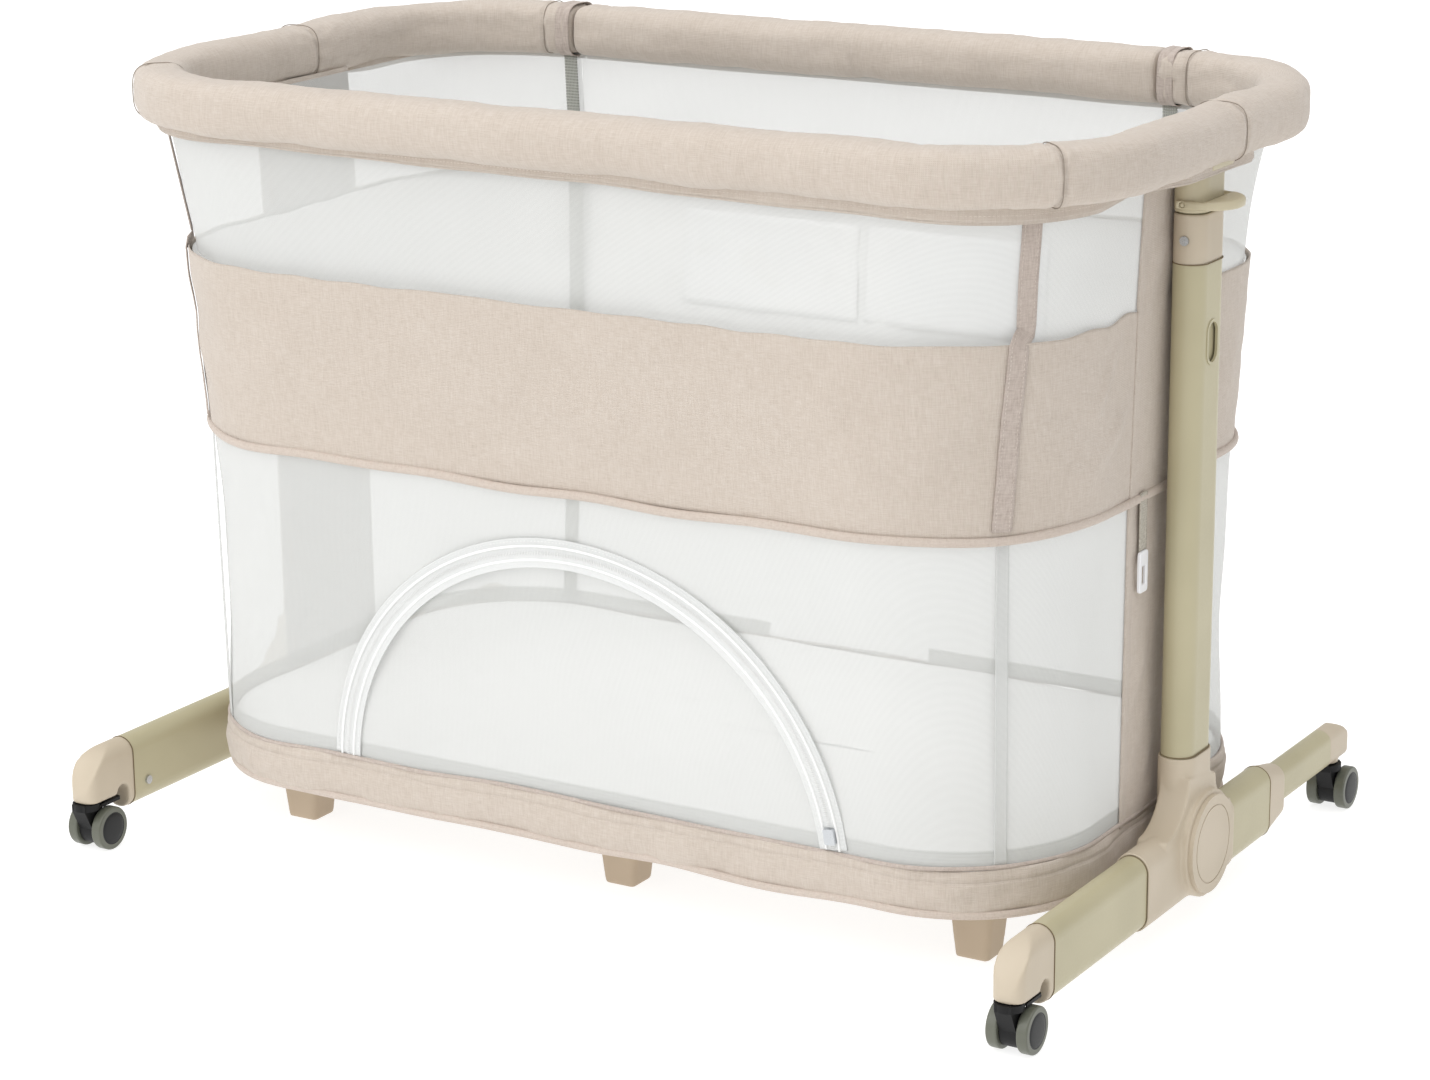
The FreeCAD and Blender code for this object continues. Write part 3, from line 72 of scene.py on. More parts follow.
def addMesh(name, points, faces, uv=None, smooth=True, merge=False):
    # puts arrays of points and faces into a new object at the origin; uv has one pair for each face corner
    mesh = bpy.data.meshes.new(name)
    mesh.from_pydata(np.asarray(points, float).reshape(-1, 3).tolist(), [], [list(face) for face in faces])
    if uv is not None:
        layer = mesh.uv_layers.new(name="cloth")
        layer.data.foreach_set("uv", np.asarray(uv, np.float32).ravel())
    if merge:
        work = bmesh.new()
        work.from_mesh(mesh)
        bmesh.ops.remove_doubles(work, verts=work.verts, dist=1e-6)
        bmesh.ops.dissolve_degenerate(work, dist=1e-7, edges=work.edges)
        work.to_mesh(mesh)
        work.free()
    mesh.polygons.foreach_set("use_smooth", np.full(len(mesh.polygons), smooth))
    return addObject(name, mesh)


def addSurface(name, points, u, v, closed=False, wrapRows=False, flip=False, merge=False):
    # a grid of rows and columns; columns close on themselves where closed, rows where wrapRows,
    # and u and v then have one more column or row, so that the cloth's pattern runs on unbroken
    rows, columns = points.shape[:2]
    r, c = np.meshgrid(np.arange(rows if wrapRows else rows - 1),
                       np.arange(columns if closed else columns - 1), indexing="ij")
    r, c = r.ravel(), c.ravel()
    r2, c2 = (r + 1) % rows, (c + 1) % columns
    faces = np.stack([r * columns + c, r * columns + c2, r2 * columns + c2, r2 * columns + c], -1)
    uv = np.stack(np.broadcast_arrays(u, v), -1)
    corners = np.stack([uv[r, c], uv[r, c + 1], uv[r + 1, c + 1], uv[r + 1, c]], 1)
    if flip:
        faces, corners = faces[:, ::-1], corners[:, ::-1]
    return addMesh(name, points, faces.tolist(), corners, merge=merge)


def addTube(name, path, sideways, upward, profile, closed=False, merge=False):
    # a profile carried along a path: each point is the path's point plus the profile's two
    # numbers times the sideways and upward directions there; the ends close to a point
    turn = np.roll(profile, -1, 0) - profile
    area = np.sum(profile[:, 0] * turn[:, 1] - profile[:, 1] * turn[:, 0])
    along = np.gradient(path, axis=0)
    handed = np.sum(np.cross(sideways, upward) * along)
    if not closed:
        path, sideways, upward, along = (np.concatenate([a[:1], a,
                                                         a[-1:]]) for a in (path, sideways, upward, along))
    scale = np.ones((len(path), 1, 1))
    if not closed:
        scale[0] = scale[-1] = 0
    points = path[:, None] + scale * (profile[None, :, :1] * sideways[:,
                                                                      None] + profile[None, :, 1:]
                                                                      * upward[:, None])
    step = np.linalg.norm(np.diff(path, axis=0), axis=1)
    walked = np.concatenate([[0], np.cumsum(step)])
    girth = np.concatenate([[0], np.cumsum(np.linalg.norm(turn, axis=1))])
    if closed:
        walked = np.append(walked, walked[-1] + step[-1])
    u, v = walked[:, None], girth[None, :]
    return addSurface(name, points, u + 0 * v, v + 0 * u, closed=True, wrapRows=closed,
                      flip=area * handed > 0, merge=merge or not closed)


def circle(radius, sides, stretch=1.0):
    # points round an ellipse, as wide as radius and as tall as radius times stretch
    turn = np.arange(sides) / sides * 2 * pi
    return np.stack([radius * np.cos(turn), radius * stretch * np.sin(turn)], -1)


def bakeModifiers(piece):
    # the piece's modifiers are worked into its mesh
    graph = bpy.context.evaluated_depsgraph_get()
    mesh = bpy.data.meshes.new_from_object(piece.evaluated_get(graph), preserve_all_data_layers=True,
                                           depsgraph=graph)
    piece.modifiers.clear()
    piece.data = mesh
    return piece


def smoothPiece(piece, levels=1, bake=False):
    # one kind of rounding for every new piece
    finer = piece.modifiers.new("finer", "SUBSURF")
    finer.levels = finer.render_levels = levels
    return bakeModifiers(piece) if bake else piece


def thicken(piece, thickness):
    # gives a sheet its cloth's thickness, inwards from the face that is seen
    wall = piece.modifiers.new("thickness", "SOLIDIFY")
    wall.thickness = thickness
    wall.offset = -1
    return piece


def readPoints(mesh):
    # the mesh's points as one array
    points = np.zeros(len(mesh.vertices) * 3, np.float32)
    mesh.vertices.foreach_get("co", points)
    return points.reshape(-1, 3).astype(float)


def writePoints(mesh, points):
    # puts an array of points back into the mesh
    mesh.vertices.foreach_set("co", points.astype(np.float32).ravel())
    mesh.update()


def swell(piece, pressure, most, frames=20):
    # blows the cloth up from inside for some frames, and keeps every point within `most` of its start
    start = readPoints(piece.data)
    cloth = piece.modifiers.new("cloth", "CLOTH")
    cloth.settings.quality = 5
    cloth.settings.mass = 0.25
    cloth.settings.tension_stiffness = cloth.settings.compression_stiffness = 12
    cloth.settings.bending_stiffness = 0.6
    cloth.settings.use_pressure = True
    cloth.settings.uniform_pressure_force = pressure
    cloth.settings.effector_weights.gravity = 0
    cloth.collision_settings.use_collision = False
    cloth.point_cache.frame_start = 1
    cloth.point_cache.frame_end = frames
    for step in range(1, frames + 1):
        scene.frame_set(step)
    graph = bpy.context.evaluated_depsgraph_get()
    moved = readPoints(piece.evaluated_get(graph).data)
    piece.modifiers.clear()
    shift = moved - start
    far = np.linalg.norm(shift, axis=1, keepdims=True)
    writePoints(piece.data, start + shift * np.minimum(1, most / np.maximum(far, 1e-9)))
    scene.frame_set(1)
    return piece


def softNoise(u, v, seed, wave, count=9):
    # a seeded sum of slanting sine waves, each about `wave` long, for cloth that is never quite flat
    pick = np.random.default_rng(seed)
    total = 0
    for angle, stretch, phase in zip(*pick.uniform([[0], [.6], [0]], [[2 * pi], [1.8], [2 * pi]],
                                                   (3, count))):
        total = total + np.sin((u * np.cos(angle) + v * np.sin(angle)) * 2 * pi / (wave * stretch) + phase)
    return total / math.sqrt(count / 2)


def creaseHeight(u, v, creases):
    # the sum of soft ridges: each follows a line from one point to another, is as wide and as high
    # as it says, and dies out towards its ends
    total = np.zeros(np.broadcast(u, v).shape)
    for startU, startV, endU, endV, wide, high in creases:
        longU, longV = endU - startU, endV - startV
        long = math.hypot(longU, longV)
        share = np.clip(((u - startU) * longU + (v - startV) * longV) / long ** 2, 0, 1)
        away = np.hypot(u - startU - share * longU, v - startV - share * longV)
        total += high * np.exp(-(away / wide) ** 2) * np.sin(pi * share) ** .6
    return total


# materials


def hexToLinear(code):
    # an sRGB hex colour as the linear colour that the shader wants
    parts = [int(code[i:i + 2], 16) / 255 for i in (1, 3, 5)]
    return [p / 12.92 if p <= .04045 else ((p + .055) / 1.055) ** 2.4 for p in parts] + [1]


def addNode(tree, kind, settings=None, links=None):
    # adds one node; settings are its own options or its sockets' values, links are sources for its sockets
    node = tree.nodes.new(kind)
    for name, value in (settings or {}).items():
        if isinstance(name, str) and hasattr(node, name):
            setattr(node, name, value)
        else:
            node.inputs[name].default_value = value
    for name, source in (links or {}).items():
        tree.links.new(source, node.inputs[name])
    return node


def newMaterial(name, shader):
    # a material with its own shader and an output, ready for a pattern
    material = bpy.data.materials.new(name)
    material.use_nodes = True
    tree = material.node_tree
    tree.nodes.clear()
    skin = addNode(tree, "ShaderNodeBsdfPrincipled", shader)
    addNode(tree, "ShaderNodeOutputMaterial", {}, {"Surface": skin.outputs["BSDF"]})
    return material, tree, skin


def maths(tree, operation, *parts):
    # one sum on numbers and on other nodes' outputs
    node = addNode(tree, "ShaderNodeMath", {"operation": operation})
    for place, part in enumerate(parts):
        if isinstance(part, (int, float)):
            node.inputs[place].default_value = part
        else:
            tree.links.new(part, node.inputs[place])
    return node.outputs[0]


def ramp(tree, source, stops):
    # a colour ramp with the given places and hex colours
    node = addNode(tree, "ShaderNodeValToRGB", {}, {"Fac": source})
    bar = node.color_ramp
    while len(bar.elements) < len(stops):
        bar.elements.new(.5)
    for element, (place, colour) in zip(bar.elements, stops):
        element.position = place
        element.color = hexToLinear(colour)
    return node.outputs["Color"]


def wovenCloth(name, look):
    # plain weave: sine threads each way, long uneven slubs in both, faint larger patches
    material, tree, skin = newMaterial(name, {"Roughness": look["roughness"], "Sheen Weight": look["sheen"],
                                              "Sheen Roughness": .5, "IOR": 1.45, "Specular IOR Level": .25})
    cloth = addNode(tree, "ShaderNodeUVMap", {"uv_map": "cloth"})
    slubs = []
    for long, wide, seed in ((look["slubLong"], look["slubWide"], 3.1),
                             (look["slubWide"], look["slubLong"], 7.7)):
        stretched = addNode(tree, "ShaderNodeMapping",
                            {"Scale": (1 / long, 1 / wide, 1), "Location": (seed, seed, seed)},
                            {"Vector": cloth.outputs["UV"]})
        slubs.append(addNode(tree, "ShaderNodeTexNoise", {"Scale": 1.0, "Detail": 3.0, "Roughness": .6},
                             {"Vector": stretched.outputs["Vector"]}).outputs["Fac"])
    half = maths(tree, "MULTIPLY", maths(tree, "ADD", *slubs), .5)
    patches = addNode(tree, "ShaderNodeTexNoise", {"Scale": 1 / look["patch"], "Detail": 2.0},
                      {"Vector": cloth.outputs["UV"]})
    level = maths(tree, "SUBTRACT", maths(tree, "MULTIPLY_ADD", patches.outputs["Fac"], .12, half), .06)
    tree.links.new(ramp(tree, level, look["colours"]), skin.inputs["Base Color"])
    threads = []
    for turn in (0, pi / 2):
        turned = addNode(tree, "ShaderNodeMapping", {"Rotation": (0, 0, turn)},
                         {"Vector": cloth.outputs["UV"]})
        threads.append(addNode(tree, "ShaderNodeTexWave",
                               {"Scale": 1 / look["thread"] / 3.14, "Distortion": .6,
                                                           "Detail": 1.0, "Detail Scale": .4},
                               {"Vector": turned.outputs["Vector"]}).outputs["Fac"])
    relief = maths(tree, "ADD", maths(tree, "MULTIPLY", *threads), half)
    bump = addNode(tree, "ShaderNodeBump", {"Strength": look["bump"], "Distance": .0006}, {"Height": relief})
    tree.links.new(bump.outputs["Normal"], skin.inputs["Normal"])
    return material


# linen-look woven polyester, plain weave: heathered beige with long slubs, matt, a little fuzz at grazing light;
# the real thread is about 0.6 mm apart, drawn at 1.5 mm so that it shows
linen = wovenCloth("woven polyester linen look", {
    "roughness": .92, "sheen": .25, "slubLong": 11 * mm, "slubWide": .9 * mm, "patch": 90 * mm,
    "thread": 1.5 * mm,
    "bump": .4, "colours": [(.28, "#b9ada1"), (.46, "#c5b9ad"), (.56, "#cabfb4"), (.74, "#d3cac0")]})
# the same cloth cut narrow for tapes and edges: a touch greyer, finer
tapeLinen = wovenCloth("woven polyester binding", {
    "roughness": .9, "sheen": .2, "slubLong": 9 * mm, "slubWide": 1.3 * mm, "patch": 60 * mm,
    "thread": 1.3 * mm,
    "bump": .4, "colours": [(.30, "#a99b91"), (.48, "#bbaea5"), (.62, "#c6bab1"), (.78, "#d1c6be")]})
# folded bias tape over a cord: smooth, pinkish beige
pipingCloth = wovenCloth("polyester piping", {
    "roughness": .8, "sheen": .2, "slubLong": 5 * mm, "slubWide": 1.2 * mm, "patch": 80 * mm,
    "thread": 1.1 * mm,
    "bump": .25, "colours": [(.30, "#bdaea3"), (.5, "#c8bbb0"), (.75, "#d1c5bb")]})
# brushed cotton lining and sheet: matt white with the faintest weave
cotton = wovenCloth("woven cotton", {
    "roughness": .95, "sheen": .15, "slubLong": 7 * mm, "slubWide": 1.2 * mm, "patch": 120 * mm,
    "thread": 1.4 * mm,
    "bump": .22, "colours": [(.30, "#ececeb"), (.5, "#f3f3f2"), (.75, "#f8f8f7")]})
# coarse grey-beige webbing
webbing = wovenCloth("polyester webbing", {
    "roughness": .9, "sheen": .1, "slubLong": 3 * mm, "slubWide": 1.8 * mm, "patch": 50 * mm,
    "thread": 2.2 * mm,
    "bump": .9, "colours": [(.30, "#a7a094"), (.5, "#beb8ac"), (.75, "#d3cec4")]})


def knittedMesh(name, look):
    # warp-knitted net: rows of round holes, every second row moved by half a hole; the thread between
    # them is white and the holes let the light through
    material, tree, skin = newMaterial(name, {"Roughness": .8, "Sheen Weight": .2, "IOR": 1.5,
                                              "Specular IOR Level": .2,
                                              "Base Color": hexToLinear(look["colour"])})
    cloth = addNode(tree, "ShaderNodeUVMap", {"uv_map": "cloth"})
    parts = addNode(tree, "ShaderNodeSeparateXYZ", {}, {"Vector": cloth.outputs["UV"]})
    across = maths(tree, "MULTIPLY", parts.outputs[0], 2 * pi / look["pitch"])
    up = maths(tree, "MULTIPLY", parts.outputs[1], 2 * pi / (look["pitch"] * 1.732))
    waves = [maths(tree, "COSINE", way) for way in (across, up)]
    tall = maths(tree, "ABSOLUTE", maths(tree, "MULTIPLY", *waves))
    veil = addNode(tree, "ShaderNodeMapRange", {"From Min": .25, "From Max": .75, "To Min": look["thread"],
                                                "To Max": look["hole"]}, {"Value": tall})
    tree.links.new(veil.outputs["Result"], skin.inputs["Alpha"])
    bump = addNode(tree, "ShaderNodeBump", {"Strength": .3, "Distance": .0003, "invert": True},
                   {"Height": tall})
    tree.links.new(bump.outputs["Normal"], skin.inputs["Normal"])
    return material


# fine white polyester net: a veil that greys what is behind it; rows of holes 1.1 mm apart
meshNet = knittedMesh("knitted polyester mesh",
                      {"colour": "#dddedc", "pitch": 1.1 * mm, "thread": .80, "hole": .44})
# the same net doubled as a grey strip at the seams
seamNet = knittedMesh("folded polyester mesh",
                      {"colour": "#a9aaa2", "pitch": 3.4 * mm, "thread": 1.0, "hole": .35})
# the zip's own tape: closer knit, so that it stands out white on the net
zipNet = knittedMesh("knitted zip tape", {"colour": "#ecedec", "pitch": 1.3 * mm, "thread": .86, "hole": .62})


def hardFinish(name, look):
    # a plain hard surface: colour that drifts a little, and a fine grain in gloss and relief
    shader = {"Roughness": look["roughness"], "Metallic": look.get("metallic", 0),
              "Specular IOR Level": look.get("specular", .5)}
    if not look.get("metallic", 0):
        shader["IOR"] = look.get("ior", 1.5)
    material, tree, skin = newMaterial(name, shader)
    place = addNode(tree, "ShaderNodeTexCoord")
    drift = addNode(tree, "ShaderNodeTexNoise", {"Scale": 1 / look.get("drift", .08), "Detail": 2.0},
                    {"Vector": place.outputs["Object"]})
    tree.links.new(ramp(tree, drift.outputs["Fac"], [(.3, look["dark"]), (.7, look["light"])]),
                   skin.inputs["Base Color"])
    grain = addNode(tree, "ShaderNodeTexNoise", {"Scale": 1 / look["grain"], "Detail": 3.0},
                    {"Vector": place.outputs["Object"]})
    gloss = addNode(tree, "ShaderNodeMapRange",
                    {"From Min": .3, "From Max": .7, "To Min": look["roughness"] - .06,
                                                 "To Max": look["roughness"] + .06},
                                                 {"Value": grain.outputs["Fac"]})
    tree.links.new(gloss.outputs["Result"], skin.inputs["Roughness"])
    bump = addNode(tree, "ShaderNodeBump", {"Strength": look["bump"], "Distance": look["grain"] * .12},
                   {"Height": grain.outputs["Fac"]})
    tree.links.new(bump.outputs["Normal"], skin.inputs["Normal"])
    return material


# ABS, injection moulded with a fine spark-eroded grain: pinkish beige, half matt
moulded = hardFinish("moulded ABS", {"dark": "#bdb09b", "light": "#c8bba7", "roughness": .46,
                                     "grain": .9 * mm,
                                     "bump": .12})
# steel tube, polyester powder coat: warm khaki cream with faint orange peel
powderCoat = hardFinish("powder-coated steel", {"dark": "#b2aa8b", "light": "#bab293", "roughness": .38,
                                                "grain": 2.2 * mm, "bump": .10})
# the paddle and the heads: ABS moulded in the tube's own khaki cream
khakiPlastic = hardFinish("moulded khaki ABS", {"dark": "#bbb195", "light": "#c5bb9f", "roughness": .42,
                                                "grain": .9 * mm, "bump": .10})
# polypropylene feet under the base: tan, matt
footPlastic = hardFinish("moulded polypropylene", {"dark": "#b5a38c", "light": "#c0ae97", "roughness": .55,
                                                   "grain": 1.0 * mm, "bump": .15})
# glass-filled nylon caster bodies: near black, half matt
nylon = hardFinish("glass-filled nylon", {"dark": "#0d0d0e", "light": "#171718", "roughness": .5,
                                          "specular": .25,
                                          "grain": .8 * mm, "bump": .2})
# the wheel centres: charcoal nylon, smoother
wheelNylon = hardFinish("charcoal nylon", {"dark": "#101112", "light": "#1a1b1d", "roughness": .42,
                                           "specular": .3,
                                           "grain": .8 * mm, "bump": .12})
# thermoplastic rubber tyres: warm grey with a soft gloss
tyreRubber = hardFinish("thermoplastic rubber", {"dark": "#585a4f", "light": "#66685c", "roughness": .34,
                                                 "grain": .7 * mm, "bump": .25})
# zinc-plated steel: pale bluish metal
zincSteel = hardFinish("zinc-plated steel", {"dark": "#b9bcc0", "light": "#d4d7da", "roughness": .28,
                                             "metallic": 1, "grain": .5 * mm, "bump": .08})
# acetal clip and zip parts: clean white, satin
acetal = hardFinish("white acetal", {"dark": "#edeef2", "light": "#f6f7fa", "roughness": .34,
                                     "grain": .6 * mm,
                                     "bump": .05})
# particle board faced with grey paper: only its underside is seen
board = hardFinish("faced particle board", {"dark": "#a99c8e", "light": "#b8ac9e", "roughness": .8,
                                            "grain": 2 * mm,
                                            "bump": .3})
# satin panel sewn to the lining: plain white
satin = hardFinish("bare satin panel", {"dark": "#f4f5f6", "light": "#fbfbfb", "roughness": .4,
                                        "grain": 1.2 * mm,
                                        "bump": .1})
# dark seam lines between moulded parts
gapDark = hardFinish("shadow gap", {"dark": "#77684f", "light": "#84745a", "roughness": .9, "grain": 1 * mm,
                                    "bump": .05})
# polyester sewing thread: the cloth's colour a shade lighter, and white on the white tapes
thread = hardFinish("polyester sewing thread",
                    {"dark": "#cdc2b8", "light": "#dfd6cd", "roughness": .7, "grain": .5 * mm,
                                                "bump": .2})
whiteThread = hardFinish("white sewing thread", {"dark": "#dcdcda", "light": "#ebebea", "roughness": .6,
                                                 "grain": .5 * mm, "bump": .2})
# painted shade in the sunken line of a seam in the linen: a darker linen colour
seamPaintedShade = hardFinish("linen seam line", {"dark": "#8f8479", "light": "#9b9085", "roughness": .9,
                                           "grain": .6 * mm,
                                           "bump": .2})
print("materials ready")


def dress(piece, finish, body, slot, *nodes):
    # gives a new piece its material and its body, and hides the CAD nodes that it stands for; slot is not used
    piece.data.materials.clear()
    piece.data.materials.append(finish)
    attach(piece, body)
    if nodes:
        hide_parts(*nodes)
    return piece


def layTape(name, path, out, wide, columns=9, ridges=(), thick=.9 * mm):
    # a tape laid along a path and facing out, its edges turned under; each ridge has a place across the
    # tape, a width and a height; also gives the directions across it and its length
    side = unit(np.cross(np.gradient(path, axis=0), out))
    across = np.linspace(-.5, .5, columns) * wide
    rise = .3 * mm * (np.abs(across) > wide * .5 - 1.2 * mm)
    for place, spread, high in ridges:
        rise = rise + high * np.exp(-((across - place) / spread) ** 2)
    points = path[:, None] + side[:, None] * across[None, :, None] + out[:, None] * rise[None, :, None]
    walked = walkAlong(path)
    piece = addSurface(name, points, across[None] + 0 * walked[:, None], walked[:, None] + 0 * across[None])
    return thicken(piece, thick), side, float(walked[-1])


def addStitches(name, path, out, finish, body, slotName, look):
    # a row of stitches along a path: each is a small diamond with six points, lying on the cloth
    walked = walkAlong(path)
    count = int(walked[-1] / look["step"])
    places = (np.arange(count) + .5) * walked[-1] / count
    middle, ahead, up = (np.stack([np.interp(at, walked, line[:, i]) for i in range(3)], -1)
                         for at, line in ((places, path), (places + 1e-4, path), (places, out)))
    ahead, up = unit(ahead - middle), unit(up)
    left = np.cross(up, ahead)
    tips = [ahead * look["long"] / 2, left * look["wide"] / 2, -ahead * look["long"] / 2,
            -left * look["wide"] / 2,
            up * look["high"], -up * look["high"]]
    points = np.stack([middle + tip for tip in tips], 1).reshape(-1, 3)
    one = np.array([[0, 1, 4], [1, 2, 4], [2, 3, 4], [3, 0, 4], [1, 0, 5], [2, 1, 5], [3, 2, 5], [0, 3, 5]])
    faces = (one[None] + 6 * np.arange(count)[:, None, None]).reshape(-1, 3)
    return dress(addMesh(name, points, faces.tolist(), smooth=False), finish, body, slotName)


stitchLook = {"step": 3.6 * mm, "long": 2.6 * mm, "wide": .7 * mm, "high": .35 * mm}

# where things are: the levels of the basket's wall, read from the frame

postLow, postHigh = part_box("right_post_tube")
railLow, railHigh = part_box("rail_pad")
bandLow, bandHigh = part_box("linen_band")
baseLow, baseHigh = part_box("base_band")
wallLow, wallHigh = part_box("mesh_wall")
dropLow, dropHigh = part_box("drop_rail_pad")
middleY = (postLow.y + postHigh.y) / 2
panelLow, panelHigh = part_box("end_panels")
panelHalf = (panelHigh.y - panelLow.y) / 2
breakX = dropHigh.x
bandStep = 2.3 * mm

# half length, half depth and corner radius of the wall at its four heights, net first and then the linen band
wall = {"heights": [wallLow.z, bandLow.z, bandHigh.z, wallHigh.z],
        "halfLong": [baseHigh.x - .004, bandHigh.x - .004 - bandStep, bandHigh.x - bandStep, wallHigh.x],
        "halfDeep": [.247, .275 - bandStep, .277 - bandStep, .268],
        "corner": [.130, .165 - bandStep, .158 - bandStep, .105]}
band = {"heights": [bandLow.z, bandHigh.z], "halfLong": [bandHigh.x - .004, bandHigh.x],
        "halfDeep": [.275, bandHigh.y - middleY], "corner": [.165, .158]}
padHalf = .0245
rail = {"halfLong": railHigh.x - (dropHigh.y - dropLow.y) / 2, "halfDeep": railHigh.y - middleY - padHalf,
        "corner": .142,
        "height": (railLow.z + railHigh.z) / 2, "wide": (dropHigh.y - dropLow.y),
        "tall": railHigh.z - railLow.z}


def levelAt(height, table):
    # half length, half depth and corner radius at a height, in straight lines between the table's levels
    return [np.interp(height, table["heights"], table[part]) for part in ("halfLong", "halfDeep", "corner")]


def ringLength(halfLong, halfDeep, corner):
    # once round a rounded rectangle
    return 4 * (halfLong - corner) + 4 * (halfDeep - corner) + 2 * pi * corner


def ringWalk(distance, halfLong, halfDeep, corner):
    # a walk round a rounded rectangle from the middle of its front, to the right first: straights and
    # quarter turns are each added up to the distance walked; also gives the outward direction there
    a, b, q = halfLong - corner, 2 * (halfDeep - corner), corner * pi / 2
    s = np.mod(distance, ringLength(halfLong, halfDeep, corner))
    turns = [np.clip((s - k) / corner, 0, pi / 2) for k in (a, a + q + b, 3 * a + 2 * q + b,
                                                            3 * a + 3 * q + 2 * b)]
    run = [np.clip(s - k, 0, long) for k, long in ((0 * a, a), (a + q, b), (a + 2 * q + b, 2 * a),
                                                   (3 * a + 3 * q + b, b), (3 * a + 4 * q + 2 * b, a))]
    sines, bows = [np.sin(t) for t in turns], [1 - np.cos(t) for t in turns]
    x = run[0] + run[4] - run[2] + corner * (sines[0] - bows[1] - sines[2] + bows[3])
    y = middleY - halfDeep + run[1] - run[3] + corner * (bows[0] + sines[1] - bows[2] - sines[3])
    heading = turns[0] + turns[1] + turns[2] + turns[3]
    return x, y, np.sin(heading), -np.cos(heading)


def ringPlace(x, y, halfLong, halfDeep, corner):
    # the walk turned round: how far along a point is, right positive, how far outside the line, and outwards
    a, b = halfLong - corner, halfDeep - corner
    overX, overY = np.maximum(np.abs(x) - a, 0), np.maximum(np.abs(y - middleY) - b, 0)
    turn = np.arctan2(overY, overX)
    walked = np.clip(np.abs(x), 0, a) + corner * (pi / 2 - turn) + b - np.clip(np.abs(y - middleY), 0, b)
    walked = np.where(y > middleY, ringLength(halfLong, halfDeep, corner) / 2 - walked, walked)
    far = np.maximum(np.hypot(overX, overY), 1e-9)
    return (np.where(x < 0, -walked, walked), far - corner, overX / far * np.sign(x),
            overY / far * np.sign(y - middleY))


def backEdge(x, halfLong, halfDeep, corner):
    # distance walked, to the right, until the back comes to x
    a, b, q = halfLong - corner, 2 * (halfDeep - corner), corner * pi / 2
    onTurn = a + q + b + corner * np.arccos(np.clip((x - a) / corner, -1, 1))
    return np.where(x < a, a + 2 * q + b + (a - x), onTurn)


def standOff(walk, lift, z):
    # the points of a walk, lifted outwards
    x, y, outX, outY = walk
    return np.stack([x + outX * lift, y + outY * lift, z], -1)


def addRing(name, points, s, z, last, flip=False):
    # a sheet that goes once round and closes on itself
    u, v = np.concatenate([s, last[:, None]], 1), np.concatenate([z, z[:, :1]], 1)
    return addSurface(name, points, u, v, closed=True, flip=flip)


def wallPoints(heights, start, end, columns, table, lift=0.0):
    # a sheet on the wall: each row is walked evenly from start to end, and lifted outwards
    level = [part[:, None] for part in levelAt(heights, table)]
    s = start[:, None] + (end - start)[:, None] * np.linspace(0, 1, columns)[None]
    z = heights[:, None] + 0 * s
    return standOff(ringWalk(s, *level), lift, z), s, z


def besidePanels(s, total):
    # 0 on the end panels, 1 away from them
    return np.clip((np.abs(np.abs(s) - total / 4) - panelHalf - .004) / .03, 0, 1)


def ringRows(heights, table):
    # start and end of a full round, from the middle of the back to itself
    half = ringLength(*levelAt(heights, table)) / 2
    return -half, half


# the padded rail

railLook = {"cell": 4.6 * mm, "around": 36, "slack": 1.0 * mm, "square": 3.2, "pressure": 3.0,
            "most": 1.6 * mm,
            "seamWide": 1.5 * mm, "seamDeep": 2.2 * mm,
            "seams": [(.452, .10), (-.452, -.10), (.706, 0), (-.706, 0), (1.02, 0), (-1.02, 0)],
            "wrinkleHigh": .9 * mm, "slant": .03, "puckerShare": .35, "puckerAt": .006, "puckerWide": .004,
            "fanReach": .05, "creases": 46, "creaseDeep": .8 * mm, "bends": (.45, 1.0), "bendReach": .12,
            "girth": .025}


def railSection(turn, inset):
    # the padded rail's section: a circle drawn towards a square, smaller by the inset
    power = 2 / railLook["square"]
    return [(rail[size] / 2 - inset) * np.sign(wave) * np.abs(wave) ** power
            for size, wave in (("wide", np.cos(turn)), ("tall", np.sin(turn)))]


def padBlank(name, start, end):
    # the rail's slack cover: a squared circle carried round the ring, rounded off at both ends
    count = int((end - start) / railLook["cell"])
    s = np.concatenate([[start, start, start + .0006, start + .002],
                        np.linspace(start + .005, end - .005, count), [end - .002, end - .0006, end, end]])
    size = np.concatenate([[0, .55, .86, .95], np.ones(count), [.95, .86, .55, 0]])
    turn = -np.arange(railLook["around"]) / railLook["around"] * 2 * pi
    wide, tall = railSection(turn, railLook["slack"])
    x, y, outX, outY = ringWalk(s, rail["halfLong"], rail["halfDeep"], rail["corner"])
    across = size[:, None] * wide[None]
    points = np.stack([x[:, None] + outX[:, None] * across, y[:, None] + outY[:, None] * across,
                       rail["height"] + size[:, None] * tall[None]], -1)
    columns = np.arange(railLook["around"] + 1) / railLook["around"]
    return addSurface(name, points, s[:, None] + 0 * columns[None], columns[None] + 0 * s[:, None],
                      closed=True,
                      merge=True)


